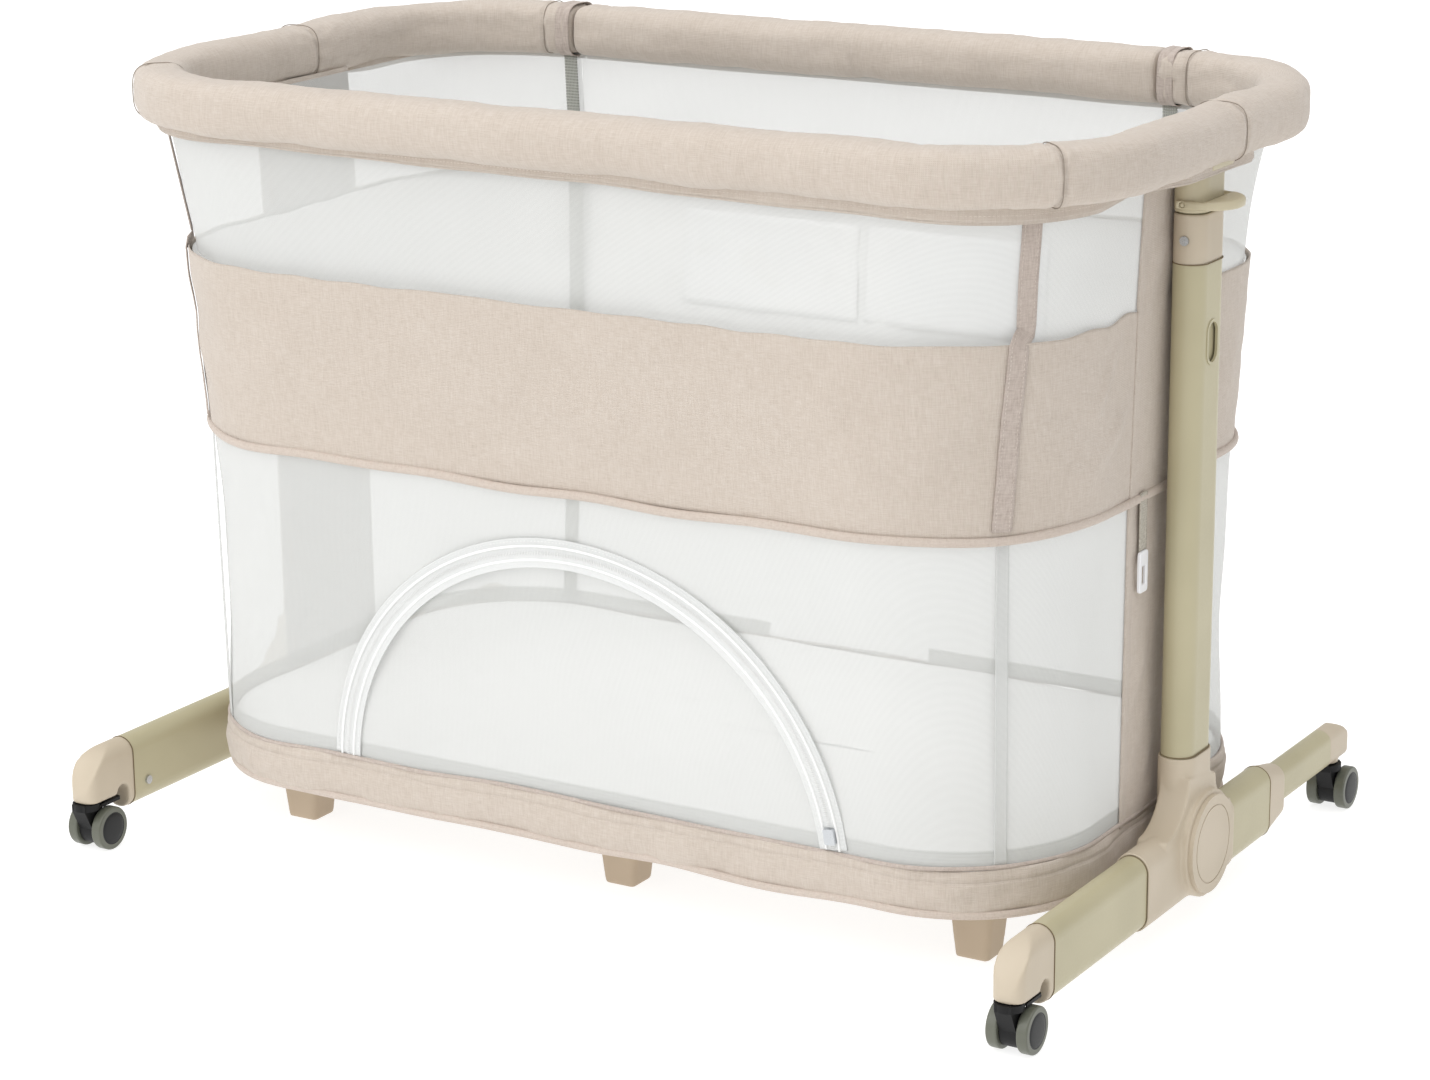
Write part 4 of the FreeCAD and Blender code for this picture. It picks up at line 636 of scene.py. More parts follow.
def finishPad(piece, seams, seed):
    # seams sink in, wrinkles fan out beside them and on the bends, and the cloth's pattern is laid along the rail
    points = readPoints(piece.data)
    ring = (rail["halfLong"], rail["halfDeep"], rail["corner"])
    s, out, outX, outY = ringPlace(points[:, 0], points[:, 1], *ring)
    up = points[:, 2] - rail["height"]
    far = np.maximum(np.hypot(out, up), 1e-6)
    angle = np.arctan2(up, out)
    sink = np.zeros(len(points))
    for place, slant in seams:
        away = s - place - slant * railLook["slant"] * np.cos(angle * 2)
        sink -= railLook["seamDeep"] * np.exp(-(away / railLook["seamWide"]) ** 2)
        sink += railLook["seamDeep"] * railLook["puckerShare"] * np.exp(
            -((np.abs(away) - railLook["puckerAt"]) / railLook["puckerWide"]) ** 2)
        fan = np.exp(-(away / railLook["fanReach"]) ** 2) * np.sin(angle * 11 + 3 * np.sin(s * 90)) * .35
        sink += railLook["wrinkleHigh"] * fan
    sink += .5 * mm * softNoise(s, angle * railLook["girth"], seed,
                                .11) + .25 * mm * softNoise(s, angle * railLook["girth"], seed + 1, .035)
    pick = np.random.default_rng(seed)
    for place in pick.uniform(s.min(), s.max(), railLook["creases"]):
        bend = 1.0 if any(abs(abs(place) - at) < railLook["bendReach"] for at in railLook["bends"]) else .45
        lean, wide, centre, reach = pick.uniform([-.012, .0022, -pi, .5], [.012, .0045, pi, 1.3])
        near = np.cos((angle - centre) / 2) ** 2 > math.cos(reach / 2) ** 2
        fade = np.clip(1 - np.abs(np.angle(np.exp(1j * (angle - centre)))) / reach, 0, 1) * near
        sink -= bend * railLook["creaseDeep"] * np.exp(-((s - place - lean
                                                          * np.sin(angle)) / wide) ** 2) * fade
    points[:, 0] += outX * out / far * sink
    points[:, 1] += outY * out / far * sink
    points[:, 2] += up / far * sink
    writePoints(piece.data, points)
    loops = np.zeros(len(piece.data.loops), np.int32)
    piece.data.loops.foreach_get("vertex_index", loops)
    first, count = (np.zeros(len(piece.data.polygons), np.int32) for _ in range(2))
    piece.data.polygons.foreach_get("loop_start", first)
    piece.data.polygons.foreach_get("loop_total", count)
    under = np.mod(angle + pi / 2, 2 * pi)[loops]
    lead = np.repeat(under[first], count)
    under = under - 2 * pi * np.round((under - lead) / (2 * pi))
    layer = piece.data.uv_layers.get("cloth") or piece.data.uv_layers.new(name="cloth")
    layer.data.foreach_set("uv", np.stack([s[loops], under * railLook["girth"]],
                                          -1).astype(np.float32).ravel())
    return piece


ringSize = (rail["halfLong"], rail["halfDeep"], rail["corner"])
turnBack = float(backEdge(breakX, *ringSize))
ringAll = ringLength(*ringSize)
for padName, start, end, body, node, seed in (
        ("railPad", -turnBack + .001, turnBack - .001, "basket", "rail_pad", 11),
        ("dropRailPad", turnBack + .001, ringAll - turnBack - .001, "drop_side", "drop_rail_pad", 12)):
    pad = padBlank(padName, start, end)
    swell(pad, railLook["pressure"], railLook["most"])
    smoothPiece(pad, 1, bake=True)
    finishPad(pad, railLook["seams"] if body == "basket" else [], seed)
    dress(pad, linen, body, "linen", node)
    print("padded", padName, len(pad.data.polygons))

# the flap under the rail, with its row of stitches

flapLook = {"top": railLow.z + 8 * mm, "short": 4.5 * mm, "long": 11 * mm, "lift": 8 * mm, "reach": 28 * mm,
            "headHalf": .125, "headFade": .07,
            "thick": 1.0 * mm, "overShort": 2.4 * mm, "overProud": 1.3 * mm}


def flapDrop(s):
    # how far the flap hangs under the rail: least at the left, most before the right front corner
    rise = np.clip((s + .45) / .85, 0, 1) * np.clip((.62 - s) / .12, 0, 1)
    return flapLook["short"] + (flapLook["long"] - flapLook["short"]) * rise ** 1.5


def railFlap(name, start, end, body, seed, layer):
    # one layer of the narrow sheet under the rail; it goes round the outside of the posts' heads
    share = np.linspace(0, 1, 9)[:, None]
    s = np.linspace(start, end, int((end - start) / .005))[None] + 0 * share
    drop = flapDrop(s) - flapLook["overShort"] * layer
    z = flapLook["top"] - (1 - share) * (flapLook["top"] - railLow.z + drop)
    x, y, outX, outY = ringWalk(s, *topLevel)
    aside = np.clip((flapLook["headHalf"] - np.abs(np.abs(s) - topAll / 4)) / flapLook["headFade"], 0, 1)
    lift = flapLook["lift"] + flapLook["reach"] * aside ** 2 * (3 - 2 * aside) + flapLook["overProud"] * layer
    lift = lift + .25 * mm * softNoise(s, z, seed, .12) + .6 * mm * np.exp(-(share / .12) ** 2)
    z = z + .35 * mm * softNoise(s, 0 * z, seed + 3, .16) * (1 - share)
    points = np.stack([x + outX * lift, y + outY * lift, z], -1)
    piece = thicken(addSurface(name, points, s, z), flapLook["thick"])
    dress(piece, linen, body, "linen")
    if layer:
        out = np.stack([outX[0], outY[0], 0 * outX[0]], -1)
        addStitches(name + "Stitches", (points[2] + points[3]) / 2, out, thread, body, "linen", stitchLook)
    return piece


topLevel = [float(part) for part in levelAt(wallHigh.z, wall)]
topBreak = float(backEdge(breakX, *topLevel))
topAll = ringLength(*topLevel)
for layer, tail in ((0, ""), (1, "Over")):
    railFlap("railFlap" + tail, -topBreak + .001, topBreak - .001, "basket", 21, layer)
    railFlap("dropRailFlap" + tail, topBreak + .001, topAll - topBreak - .001, "drop_side", 22, layer)
print("flaps hang")

# net walls

# a piece of net as tall as "full" is pulled in by "pull" between its seams
netLook = {"cell": 9 * mm, "sag": 1.2 * mm, "pull": .004, "full": .28}


def netSheet(name, low, high, start, end, body, seed, *nodes):
    # knitted net stretched between two heights of the wall; start and end are arrays over the rows
    rows = np.linspace(low, high, max(8, int((high - low) / netLook["cell"])))
    first, last = start(rows), end(rows)
    columns = int(np.max(last - first) / netLook["cell"])
    _, s, z = wallPoints(rows, first, last, columns, wall)
    share = (z - low) / (high - low)
    level = [part[:, None] for part in levelAt(rows, wall)]
    free = np.sin(pi * share) * besidePanels(s, 2 * ringRows(rows, wall)[1][:, None])
    lift = netLook["sag"] * softNoise(s, z, seed,
                                      .16) * free - netLook["pull"] * free * (high - low) / netLook["full"]
    piece = addSurface(name, standOff(ringWalk(s, *level), lift, z), s, z)
    dress(piece, meshNet, body, "mesh", *nodes)
    return piece


netLow, netHigh = wallLow.z, wallHigh.z + .002
full = lambda rows: ringRows(rows, wall)
edge = lambda rows: backEdge(breakX, *levelAt(rows, wall))
netSheet("netLower", netLow, bandLow.z + .004, lambda r: full(r)[0], lambda r: full(r)[1], "basket", 31,
         "mesh_wall")
netSheet("netUpper", bandHigh.z - .004, netHigh, lambda r: -edge(r), edge, "basket", 32)
netSheet("dropNet", bandHigh.z + .0008, netHigh, edge, lambda r: 2 * full(r)[1] - edge(r), "drop_side", 33,
         "drop_mesh_panel")
print("net walls hang")

# the linen band, its lining and its piping

bandLook = {"cell": 4 * mm, "thick": 1.2 * mm,
            "creases": [(.505, .470, .560, .535, .006, .0030), (.530, .440, .640, .530, .008, .0034),
                        (.600, .430, .575, .520, .006, -.0028), (.470, .400, .560, .470, .009, .0026),
                        (.640, .470, .655, .545, .006, .0032), (-.430, .480, -.350, .420, .009, .0022),
                        (-.300, .520, -.180, .400, .012, .0018), (.02, .530, .10, .420, .012, .0016),
                        (.250, .520, .330, .400, .011, .0020), (-.560, .530, -.520, .400, .008, .0030),
                        (-.60, .520, -.590, .400, .006, -.0024), (.700, .400, .690, .530, .006, .0024),
                        (.94, .40, 1.0, .53, .010, .0026), (-.94, .40, -1.0, .53, .010, .0026)]}


def bandTop(s):
    # the top hem's gentle dips, a little deeper towards the right end
    dip = .5 * mm * softNoise(s, 0 * s, 41, .17) + .5 * mm * softNoise(s, 0 * s, 42, .06)
    return dip * (1 + 2 * np.exp(-((s - .55) / .06) ** 2))


def bandPuff(s, z, share, total):
    # how far the band's cloth stands off the stretched shape: soft swells, and the creases near the corners
    belly = np.sin(pi * np.clip(share, 0, 1))
    puff = .8 * mm * softNoise(s, z, 43, .13) * (.3 + .7
                                                 * belly) + .5 * mm * softNoise(s, z, 44, .045) * belly
    return (puff + creaseHeight(s, z, bandLook["creases"]) * (.35 + belly)) * besidePanels(s, total)


def bandPoints(share, columns, lift):
    # the band from piping to hem; the share of its height moves the wavy top only
    rows = bandLow.z + share * (bandHigh.z - bandLow.z)
    first, last = ringRows(rows, band)
    level = [part[:, None] for part in levelAt(rows, band)]
    s = first[:, None] + (last - first)[:, None] * (np.arange(columns) / columns)[None]
    z = rows[:, None] + bandTop(s) * (share ** 2)[:, None]
    puff = lift + bandPuff(s, z, share[:, None], 2 * last[:, None])
    return standOff(ringWalk(s, *level), puff, z), s, z, last


bandShare = np.concatenate([np.linspace(0, .955, 38), [.972, .985, 1.0]])
bandColumns = int(ringLength(*levelAt(bandHigh.z, band)) / bandLook["cell"])
points, s, z, last = bandPoints(bandShare, bandColumns, 0)
linenBand = addRing("linenBand", points, s, z, last)
thicken(linenBand, bandLook["thick"])
dress(linenBand, linen, "basket", "linen", "linen_band")

points, s, z, last = bandPoints(np.linspace(-.01, .982, 30), bandColumns // 2, -.0036)
lining = addRing("bandLining", points, s, z, last, flip=True)
dress(lining, cotton, "basket", "white_cloth")


def ringPiping(name, height, table, radius, lift, seed, body="basket", finish=None, wave=.0006, over=0.0):
    # a corded edge carried once round the wall at one height, never quite straight
    level = [float(part) for part in levelAt(height, table)]
    total = ringLength(*level)
    s = np.arange(int(total / .005)) / int(total / .005) * total - total / 2
    x, y, outX, outY = ringWalk(s, *level)
    off = lift + wave * softNoise(s, 0 * s, seed, .15) + over * (1 - besidePanels(s, total))
    path = np.stack([x + outX * off, y + outY * off, height + wave * 1.5 * softNoise(s, 0 * s, seed + 1, .2)],
                    -1)
    out, up = np.stack([outX, outY, 0 * s], -1), np.tile([0, 0, 1.0], (len(s), 1))
    piece = addTube(name, path, out, up, circle(radius, 12, 1.25), closed=True)
    return dress(piece, finish or pipingCloth, body, "linen")


ringPiping("bandPiping", bandLow.z - .001, band, 3.1 * mm, .001, 51, over=1.6 * mm)
print("linen band hangs")

# the base band with its seams and piping

baseLevel = {"heights": [baseLow.z, baseHigh.z], "halfLong": [baseHigh.x - .0052, baseHigh.x - .0034],
             "halfDeep": [.2462, .2478], "corner": [.130, .130]}
baseLook = {"bulge": 4.2 * mm, "seam": 10 * mm, "cell": 4.5 * mm, "thick": 1.2 * mm}
share = np.linspace(0, 1, 26)
rows = baseLow.z + share * (baseHigh.z - baseLow.z)
first, last = ringRows(rows, baseLevel)
columns = int(float(last[0]) * 2 / baseLook["cell"])
s = first[:, None] + (last - first)[:, None] * (np.arange(columns) / columns)[None]
walk = ringWalk(s, *[part[:, None] for part in levelAt(rows, baseLevel)])
z = rows[:, None] + 0 * s
fromTop = baseHigh.z - z
seamLine = np.exp(-((fromTop - baseLook["seam"]) / .0013) ** 2)
puff = baseLook["bulge"] * np.sin(pi * share)[:, None] ** .7 - .0013 * seamLine
puff = puff + .0008 * softNoise(s, z, 61, .09) + .0004 * softNoise(s, z, 62, .03)
points = standOff(walk, puff, z + .0008 * softNoise(s, 0 * z, 63, .2))
baseBand = addRing("baseBand", points, s, z, last)
thicken(baseBand, baseLook["thick"])
dress(baseBand, linen, "basket", "linen", "base_band")
ringPiping("basePiping", baseLow.z + .001, baseLevel, 2.8 * mm, .0012, 65)
ringPiping("baseTopEdge", baseHigh.z, baseLevel, 1.5 * mm, .0005, 67, finish=tapeLinen)
print("base band sewn")

# mattress and board

mattressLow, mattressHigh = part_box("mattress")
mattressLook = {"crown": 5 * mm, "corner": .126, "round": .006, "middle": .012, "rings": 26, "columns": 220}


def mattressBlank():
    # a flat pad: rings that close to the middle below, climb the rounded edge and close again on top
    halfLong, halfDeep, corner = mattressHigh.x, (mattressHigh.y - mattressLow.y) / 2, mattressLook["corner"]
    rings, rounding = mattressLook["rings"], mattressLook["round"]
    thick = mattressHigh.z - mattressLow.z - mattressLook["crown"]
    inner = np.linspace(0, 1, rings + 1)[1:] ** .8
    turn = np.linspace(-pi / 2, pi / 2, 9)[1:-1]
    inset = np.concatenate([(1 - inner) * (halfDeep - mattressLook["middle"]), 0 * turn,
                            ((1 - inner) * (halfDeep - mattressLook["middle"]))[::-1]])
    reach = np.concatenate([np.full(rings, -rounding), rounding * np.cos(turn) - rounding,
                            np.full(rings, -rounding)])
    height = np.concatenate([np.zeros(rings), (np.sin(turn) + 1) / 2 * thick, np.full(rings, thick)])
    height[-rings:] += mattressLook["crown"] * (1 - inner[::-1] ** 3)
    shrink = (inset - reach)[:, None]
    level = (halfLong - shrink, halfDeep - shrink, np.maximum(corner - shrink, rounding))
    total = ringLength(*level)
    columns = mattressLook["columns"]
    s = (np.arange(columns) / columns)[None] * total
    x, y, _, _ = ringWalk(s, *level)
    z = mattressLow.z + height[:, None] + 0 * s
    z = z + .0007 * softNoise(x, y, 71, .13) * (height[:, None] > thick * .99)
    points = np.stack([x, y, z], -1)
    around = np.concatenate([np.arange(columns) / columns, [1.0]])[None] * total
    return addSurface("mattress", points, around, 0 * around, closed=True)


mattressPad = mattressBlank()
mesh = mattressPad.data
work = bmesh.new()
work.from_mesh(mesh)
bmesh.ops.holes_fill(work, edges=[e for e in work.edges if e.is_boundary], sides=0)
work.to_mesh(mesh)
work.free()
places = readPoints(mesh)
corners = np.zeros(len(mesh.loops), np.int32)
mesh.loops.foreach_get("vertex_index", corners)
mesh.uv_layers["cloth"].data.foreach_set("uv", places[corners][:, :2].astype(np.float32).ravel())
mesh.polygons.foreach_set("use_smooth", np.full(len(mesh.polygons), True))
dress(mattressPad, cotton, "basket", "white_cloth", "mattress")
print("mattress laid")

# end panels

panelLook = {"half": panelHalf, "tape": 11 * mm, "thick": 1.3 * mm}


def endPanel(name, side, seed):
    # a linen panel from rail to base behind the post, flat between two sewn tapes
    rows = np.concatenate([np.linspace(netLow - .004, bandLow.z - .006, 60),
                           np.linspace(bandLow.z, bandHigh.z, 30),
                           np.linspace(bandHigh.z + .006, wallHigh.z + .006, 24)])
    across = np.linspace(-1, 1, 38) * panelLook["half"]
    height, wide = rows[:, None] + 0 * across[None], across[None] + 0 * rows[:, None]
    netX = np.interp(rows, wall["heights"], wall["halfLong"])
    bandX = np.interp(rows, band["heights"], band["halfLong"])
    inBand = (rows > bandLow.z - .003) & (rows < bandHigh.z + .003)
    base = np.where(inBand, bandX + .0006, netX + .0016)[:, None]
    loose = np.where(inBand, .35, 1.0)[:, None]
    inside = np.clip((panelLook["half"] - np.abs(wide)) / .02, 0, 1)
    tape = np.clip((np.abs(wide) - panelLook["half"] + panelLook["tape"]) / .002, 0, 1)
    lift = .8 * mm * softNoise(wide, height, seed, .12) + .5 * mm * softNoise(wide, height, seed + 1, .04)
    lift = np.abs(lift) * inside * loose + .7 * mm * tape * loose
    lift = lift - .8 * mm * np.exp(-((np.abs(wide) - panelLook["half"]
                                      + panelLook["tape"]) / .0012) ** 2) * loose
    x = side * (base + lift)
    piece = addSurface(name, np.stack([x, middleY + wide, height], -1), wide, height, flip=side < 0)
    thicken(piece, panelLook["thick"])
    return piece


panelRight = endPanel("endPanelRight", 1, 81)
panelLeft = endPanel("endPanelLeft", -1, 83)
dress(panelRight, linen, "basket", "linen", "end_panels")
dress(panelLeft, linen, "basket", "linen", "end_panels")
print("end panels sewn")

# tapes sewn down the wall


def wallPath(stops, lift, inward=False):
    # a path down the wall through the given heights and distances walked, lifted off the net and the band
    heights = np.linspace(stops[0][0], stops[-1][0], max(12, int(abs(stops[0][0] - stops[-1][0]) / .005)))
    walked = np.interp(heights, *np.array(sorted(stops)).T)
    share = (heights - bandLow.z) / (bandHigh.z - bandLow.z)
    inBand = np.clip(np.minimum((heights - bandLow.z + .004) / .004, (bandHigh.z + .006 - heights) / .004), 0,
                     1)
    if inward:
        inBand = 0 * inBand
    netLevel, bandLevel = levelAt(heights, wall), levelAt(heights, band)
    netAt, bandAt = ringWalk(walked, *netLevel), ringWalk(walked, *bandLevel)
    x, y, outX, outY = [n + (b - n) * inBand for n, b in zip(netAt, bandAt)]
    out = unit(np.stack([outX, outY, 0 * x], -1))
    lift = lift + bandPuff(walked, heights, share, ringLength(*bandLevel)) * inBand
    return np.stack([x, y, heights], -1) + out * lift[:, None], out * (-1 if inward else 1)


def wallTape(name, stops, wide, lift, finish, slotName="linen", body="basket", inward=False, stitched=None):
    # a tape sewn down the wall, with a row of stitches near each edge where a thread is given
    path, out = wallPath(stops, lift + np.zeros(1), inward)
    piece, side, length = layTape(name, path, out, wide)
    dress(piece, finish, body, slotName)
    if stitched:
        for edge, tail in ((-1, "StitchesA"), (1, "StitchesB")):
            addStitches(name + tail, path + side * edge * (wide / 2 - 2.4 * mm) + out * .2 * mm, out,
                        stitched, body,
                        slotName, stitchLook)
    return piece


wallTape("cornerTapeRight", [(.652, .437), (.600, .4335), (.547, .4316), (.480, .4234), (.392, .413)],
         17 * mm, .0019,
         tapeLinen, stitched=thread)
wallTape("cornerTapeLeft", [(.652, -.437), (.547, -.4316), (.392, -.413)], 17 * mm, .0019, tapeLinen,
         stitched=thread)
for name, side in (("cornerSeamRight", 1), ("cornerSeamLeft", -1)):
    wallTape(name, [(.386, side * .413), (baseHigh.z + .002, side * .405)], 10.5 * mm, .0008, meshNet, "mesh")
print("tapes sewn")

# inside: webbing down the back, net edge at the floor, satin panels

insideLook = {"webbing": 14 * mm, "webbingX": breakX + 9 * mm, "panelLow": .423, "panelHigh": .516,
              "panels": [(-.200, -.006), (.002, .194)], "edge": 15 * mm}
for name, way in (("webbingLeft", -1), ("webbingRight", 1)):
    stops = [(height, float(backEdge(way * insideLook["webbingX"], *levelAt(height, wall))))
             for height in (wallHigh.z, bandHigh.z, bandLow.z, baseHigh.z + .004)]
    wallTape(name, stops, insideLook["webbing"], -.0065, seamNet, "mesh", inward=True)
rows = np.linspace(baseHigh.z + .001, baseHigh.z + insideLook["edge"], 5)
points, s, z = wallPoints(rows, -ringRows(rows, wall)[1] * .93, ringRows(rows, wall)[1] * .93, 400, wall,
                          -.0012)
floorEdge = addSurface("floorEdge", points, s, z, flip=True)
dress(floorEdge, seamNet, "basket", "mesh")
for place, (left, right) in enumerate(insideLook["panels"]):
    rows = np.linspace(insideLook["panelLow"], insideLook["panelHigh"], 14)
    level = levelAt(rows, band)
    points, s, z = wallPoints(rows, backEdge(right, *level), backEdge(left, *level), 40, band, -.0052)
    points[:, :, 1] -= .4 * mm * softNoise(s, z, 91 + place, .07)
    carePanel = thicken(addSurface("carePanel" + "AB"[place], points, s, z, flip=True), .4 * mm)
    dress(carePanel, satin, "basket", "white_cloth")
print("inside sewn")

# straps round the back rail beside the drop side

strapLook = {"wide": 15 * mm, "proud": .7 * mm, "x": breakX + 9.5 * mm}
turn = np.linspace(-.62 * pi, 1.62 * pi, 150)
for name, way in (("railStrapLeft", -1), ("railStrapRight", 1)):
    wide, tall = railSection(turn, -strapLook["proud"])
    path = np.stack([0 * turn + way * strapLook["x"], middleY + rail["halfDeep"] + wide,
                     rail["height"] + tall], -1)
    out = unit(np.cross(np.gradient(path, axis=0), np.tile([-1.0, 0, 0], (len(turn), 1))))
    out = out * np.sign(np.sum(out * (path - path.mean(0)), axis=1).sum())
    piece, side, length = layTape(name, path, out, strapLook["wide"], 13, [(0, 1.0 * mm, -.9 * mm)])
    dress(piece, tapeLinen, "basket", "linen")
print("straps folded")

# the rail cover's seams, each a fine sunken line

seamLook = {"sunk": .3 * mm, "radius": .45 * mm}
for place, s in enumerate(seam for seam, _ in railLook["seams"]):
    x, y, outX, outY = (float(v) for v in ringWalk(np.array(s), *ringSize))
    across, tall = railSection(turn, seamLook["sunk"])
    path = np.stack([x + outX * across, y + outY * across, rail["height"] + tall], -1)
    out = unit(path - np.array([x, y, rail["height"]]))
    sideways = unit(np.cross(np.gradient(path, axis=0), out))
    seam = addTube("railSeam" + "ABCDEF"[place], path, sideways, out, circle(seamLook["radius"], 8))
    # each seam tube carries the painted shade of its sunken seam
    dress(seam, seamPaintedShade, "basket", "linen")
print("rail seams sewn")

# zip of the arched door

zipLow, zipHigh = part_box("zip_tape")
zipLook = {"wide": 26 * mm, "lift": 1.1 * mm, "welt": 6.2 * mm, "coil": 4.4 * mm}
zipX, zipHalf = (zipLow.x + zipHigh.x) / 2, (zipHigh.x - zipLow.x) / 2
_, zipDepth, _ = levelAt(np.array([zipLow.z, zipHigh.z]), wall)
zipUp = (zipHigh.z - zipLow.z) / math.hypot(zipHigh.z - zipLow.z, zipDepth[1] - zipDepth[0])
zipTall = (zipHigh.z - zipLow.z) / zipUp
# radius of the tape's outer edge, from its half width at the feet and its height
zipOuter = (zipHalf ** 2 + zipTall ** 2) / (2 * zipTall)
zipRadius, zipSunk = zipOuter - zipLook["wide"] / 2, zipOuter - zipTall


def archPath(radius, lift):
    # the door's arch laid on the sloping front wall, from foot to foot
    foot = math.asin(zipSunk / radius)
    turn = np.linspace(foot, pi - foot, 320)
    z = zipLow.z + (radius * np.sin(turn) - zipSunk) * zipUp
    x = zipX + radius * np.cos(turn)
    _, halfDeep, _ = levelAt(z, wall)
    return np.stack([x, middleY - halfDeep - lift, z], -1)


zipPath = archPath(zipRadius, zipLook["lift"])
zipOut = np.tile([0, -1.0, 0], (len(zipPath), 1))
zipPiece, _, zipLength = layTape("zipTape", zipPath, zipOut, zipLook["wide"], 31, [
    (-zipLook["welt"], 1.3 * mm, .9 * mm), (zipLook["welt"], 1.3 * mm, .9 * mm), (0, 2.4 * mm, .5 * mm)])
dress(zipPiece, zipNet, "basket", "zip_tape", "zip_tape")
for name, shift in (("zipWeltOuter", zipLook["welt"]), ("zipWeltInner", -zipLook["welt"])):
    path = archPath(zipRadius + shift, zipLook["lift"] + .8 * mm)
    side = unit(np.cross(np.gradient(path, axis=0), zipOut))
    dress(addTube(name, path, side, zipOut, circle(1.1 * mm, 10, .8)), cotton, "basket", "zip_tape")
addStitches("zipCoil", archPath(zipRadius, zipLook["lift"] + .8 * mm), zipOut, whiteThread, "basket",
            "zip_tape",
            {"step": 1.7 * mm, "long": 1.1 * mm, "wide": zipLook["coil"], "high": .4 * mm})
for name, shift in (("zipStitchesOuter", 10.4 * mm), ("zipStitchesInner", -10.4 * mm)):
    addStitches(name, archPath(zipRadius + shift, zipLook["lift"] + .1 * mm), zipOut, whiteThread, "basket",
                "zip_tape",
                stitchLook)
print("zip sewn")

# strap beside the right post

strapLow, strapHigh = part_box("strap_webbing")
rows = np.linspace(strapHigh.z + .004, strapLow.z, 24)
path = np.stack([0 * rows + strapHigh.x, 0 * rows + (strapLow.y + strapHigh.y) / 2, rows], -1)
strapPiece, _, length = layTape("strapWebbing", path, np.tile([1.0, 0, 0], (24, 1)), strapHigh.y - strapLow.y,
                                thick=strapHigh.x - strapLow.x)
dress(strapPiece, webbing, "basket", "zip_tape", "strap_webbing")
print("strap hangs")

# hardware: CAD pieces keep their shapes and get their finishes

finishes = {"moulded_plastic": moulded, "powder_coat": powderCoat, "steel": zincSteel, "caster_black": nylon,
            "tyre": tyreRubber, "linen": linen, "mesh": meshNet, "white_cloth": cotton, "board": board,
            "foot_plastic": footPlastic, "zip_tape": cotton, "zip_metal": zincSteel, "white_plastic": acetal}
slotOf = {part["node"]: part["material_slot"] for part in frame["record"]["subparts"]}


def finishOf(name):
    # the finish that belongs to a CAD node: its record slot's, or a special one for a few nodes
    if "post_head" in name or "release_paddle" in name:
        return khakiPlastic
    if "caster_wheels" in name:
        return wheelNylon
    return finishes[slotOf[name]]


for name, node in frame["nodes"].items():
    for slot in node.material_slots:
        slot.material = finishOf(name)
print("hardware dressed")

# moulded pieces with their edges worn round

roundLook = {"cell": 1.4 * mm, "passes": 7}


def roundedCopy(node, body, slotName, cell=None):
    # a copy of a CAD piece, remeshed in small cells and smoothed, so that its sharp edges are rounded
    source = frame["nodes"][node]
    mesh = source.data.copy()
    mesh.transform(source.matrix_world)
    name = "".join(word.capitalize() if place else word for place,
                   word in enumerate(node.split("_"))) + "Moulded"
    mesh.name = name
    piece = addObject(name, mesh)
    cells = piece.modifiers.new("cells", "REMESH")
    cells.mode = "VOXEL"
    cells.voxel_size = cell or roundLook["cell"]
    soft = piece.modifiers.new("soft", "SMOOTH")
    soft.factor = .5
    soft.iterations = roundLook["passes"]
    bakeModifiers(piece)
    piece.data.polygons.foreach_set("use_smooth", np.full(len(piece.data.polygons), True))
    return dress(piece, finishOf(node), body, slotName, node)


for side in ("left", "right"):
    for node in ("hub_housing", "front_foot_cap", "foot_collar", "post_sleeve"):
        roundedCopy(side + "_" + node, "stand", "moulded_plastic")
    roundedCopy(side + "_rear_foot_cap", side + "_extension", "moulded_plastic")
    roundedCopy(side + "_release_paddle", side + "_paddle", "moulded_plastic")
    roundedCopy(side + "_post_head", "basket", "moulded_plastic")
roundedCopy("base_feet", "basket", "foot_plastic", 1.8 * mm)
roundedCopy("strap_clip", "basket", "white_plastic", .5 * mm)
print("moulded edges rounded")

# smooth covers of the wheels

coverLook = {"radius": 14.4 * mm, "dome": 1.0 * mm, "rim": .9 * mm}


def wheelCover(name, body, centre, way):
    # a shallow dome turned round the axle, closed at its middle and at its hidden back
    radius = coverLook["radius"]
    r = np.array([0, .35, .7, .92, 1.0, 1.0, .6, 0]) * radius
    h = np.array([1.0, .95, .75, .45, .05, -.8, -.8, -.8]) * coverLook["dome"]
    turn = np.arange(40) / 40 * 2 * pi
    points = np.stack([centre[0] + way * h[:, None] + 0 * turn[None],
                       centre[1] + r[:, None] * np.cos(turn)[None],
                       centre[2] + r[:, None] * np.sin(turn)[None]], -1)
    u = np.arange(41)[None] / 41 + 0 * h[:, None]
    piece = addSurface(name, points, u, u, closed=True, flip=way > 0, merge=True)
    return dress(piece, wheelNylon, body, "caster_black")


for caster in ("front_left", "front_right", "rear_left", "rear_right"):
    wheelLow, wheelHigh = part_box(caster + "_caster_wheels")
    middle = (wheelLow + wheelHigh) / 2
    for way, tail in ((-1, "In"), (1, "Out")):
        face = (wheelHigh.x if way > 0 else wheelLow.x) - way * coverLook["rim"] * .3
        wheelCover("wheelCover" + caster.title().replace("_", "") + tail, caster + "_wheels",
                   (face, middle.y, middle.z), way)
print("wheel covers on")

# dark lines where moulded pieces and tubes meet


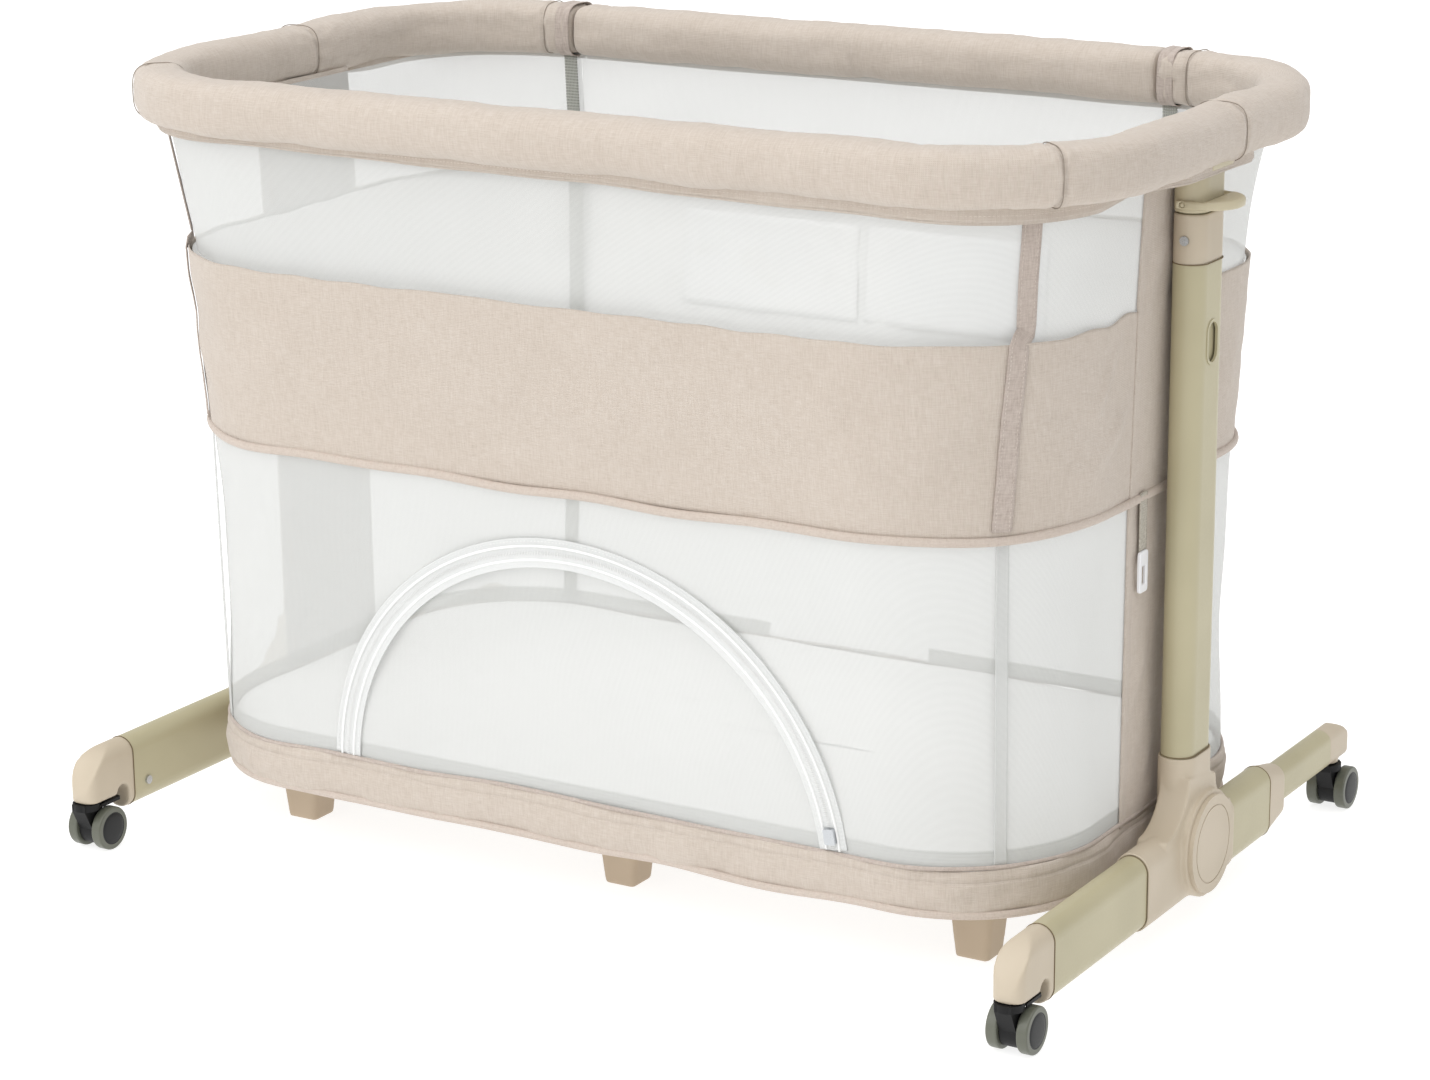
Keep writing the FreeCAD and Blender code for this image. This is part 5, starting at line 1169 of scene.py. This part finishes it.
def jointLine(name, body, centre, long, short, halfLong, halfShort, radius=.5 * mm):
    # a thin dark ring round an oval section
    t = np.arange(96) / 96 * 2 * pi
    a = np.sign(np.cos(t)) * (halfLong - halfShort) + halfShort * np.cos(t)
    b = halfShort * np.sin(t)
    long, short = np.array(long, float), np.array(short, float)
    path = np.array(centre)[None] + a[:, None] * long + b[:, None] * short
    out = np.cos(t)[:, None] * long + np.sin(t)[:, None] * short
    piece = addTube(name, path, out, np.tile(np.cross(long, short), (96, 1)), circle(radius, 6), closed=True)
    return dress(piece, gapDark, body, "moulded_plastic")


for side in ("left", "right"):
    tubeLow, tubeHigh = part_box(side + "_foot_tube")
    hubLow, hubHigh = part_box(side + "_hub_housing")
    columnLow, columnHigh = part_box(side + "_post_tube")
    tube, column = (tubeLow + tubeHigh) / 2, (columnLow + columnHigh) / 2
    tubeHalf = (tubeHigh.z - tubeLow.z) / 2, (tubeHigh.x - tubeLow.x) / 2
    columnHalf = (columnHigh.y - columnLow.y) / 2, (columnHigh.x - columnLow.x) / 2
    for tail, y in (("HubFront", hubLow.y), ("HubRear", hubHigh.y), ("CapFront", tubeLow.y),
                    ("Collar", tubeHigh.y)):
        jointLine(side + "Line" + tail, "stand", (tube.x, y, tube.z), (0, 0, 1), (1, 0, 0), *tubeHalf)
    for tail, z in (("HubTop", hubHigh.z), ("Sleeve", columnHigh.z)):
        jointLine(side + "Line" + tail, "stand", (column.x, column.y, z), (0, 1, 0), (1, 0, 0), *columnHalf)
print("joint lines drawn")

# floor, light and camera

floorMesh = bpy.data.meshes.new("floor")
floorMesh.from_pydata([(-6, -6, -.0005), (6, -6, -.0005), (6, 6, -.0005), (-6, 6, -.0005)], [],
                      [(0, 1, 2, 3)])
floor = addObject("floor", floorMesh)
paper, _, _ = newMaterial("white studio paper", {"Roughness": .9, "Base Color": hexToLinear("#a8a8a7"),
                                                 "Emission Color": hexToLinear("#ffffff"),
                                                 "Emission Strength": .80})
floorMesh.materials.append(paper)

world = bpy.data.worlds.new("studio")
scene.world = world
world.use_nodes = True
world.node_tree.nodes["Background"].inputs["Color"].default_value = hexToLinear("#ffffff")
world.node_tree.nodes["Background"].inputs["Strength"].default_value = .58


def addLamp(name, kind, power, place, aim, settings):
    # a lamp at a place, turned towards a point
    lamp = bpy.data.lights.new(name, kind)
    lamp.energy = power
    for key, value in settings.items():
        setattr(lamp, key, value)
    holder = addObject(name, lamp)
    holder.location = place
    holder.rotation_mode = "QUATERNION"
    holder.rotation_quaternion = (Vector(aim) - Vector(place)).to_track_quat("-Z", "Y")


addLamp("keyLight", "AREA", 28, (-1.4, -3.2, 1.7), (0, 0, .4), {"shape": "SQUARE", "size": 2.4})
addLamp("topLight", "AREA", 9, (0, .2, 3.2), (0, 0, .4), {"shape": "SQUARE", "size": 2.6})
# a very soft sun, so that the paper floor is as white far away as near by
addLamp("evenSun", "SUN", 1.7, (0, 0, 0), (.05, .35, -1), {"angle": math.radians(80)})

cameraLook = {"fromPosts": (1.7061, -2.8374, 1.2149), "yaw": 31.04, "pitch": 15.84, "roll": -.49,
              "lens": 95.77}
yaw, pitch, roll = (math.radians(cameraLook[k]) for k in ("yaw", "pitch", "roll"))
right = Vector((math.cos(yaw), math.sin(yaw), 0))
ahead = Vector((-math.sin(yaw) * math.cos(pitch), math.cos(yaw) * math.cos(pitch), -math.sin(pitch)))
above = right.cross(ahead)
rolledRight = right * math.cos(roll) + above * math.sin(roll)
rolledUp = above * math.cos(roll) - right * math.sin(roll)
cameraData = bpy.data.cameras.new("camera")
cameraData.lens = cameraLook["lens"]
cameraData.sensor_width = 36
cameraData.clip_start, cameraData.clip_end = .1, 50
camera = addObject("camera", cameraData)
turned = Matrix([[rolledRight[i], rolledUp[i], -ahead[i]] for i in range(3)]).to_4x4()
camera.matrix_world = Matrix.Translation(Vector(cameraLook["fromPosts"]) + Vector((0, middleY, 0))) @ turned
scene.camera = camera

scene.view_settings.view_transform = "Standard"
scene.view_settings.look = "None"
scene.view_settings.exposure = 0
scene.view_settings.gamma = 1
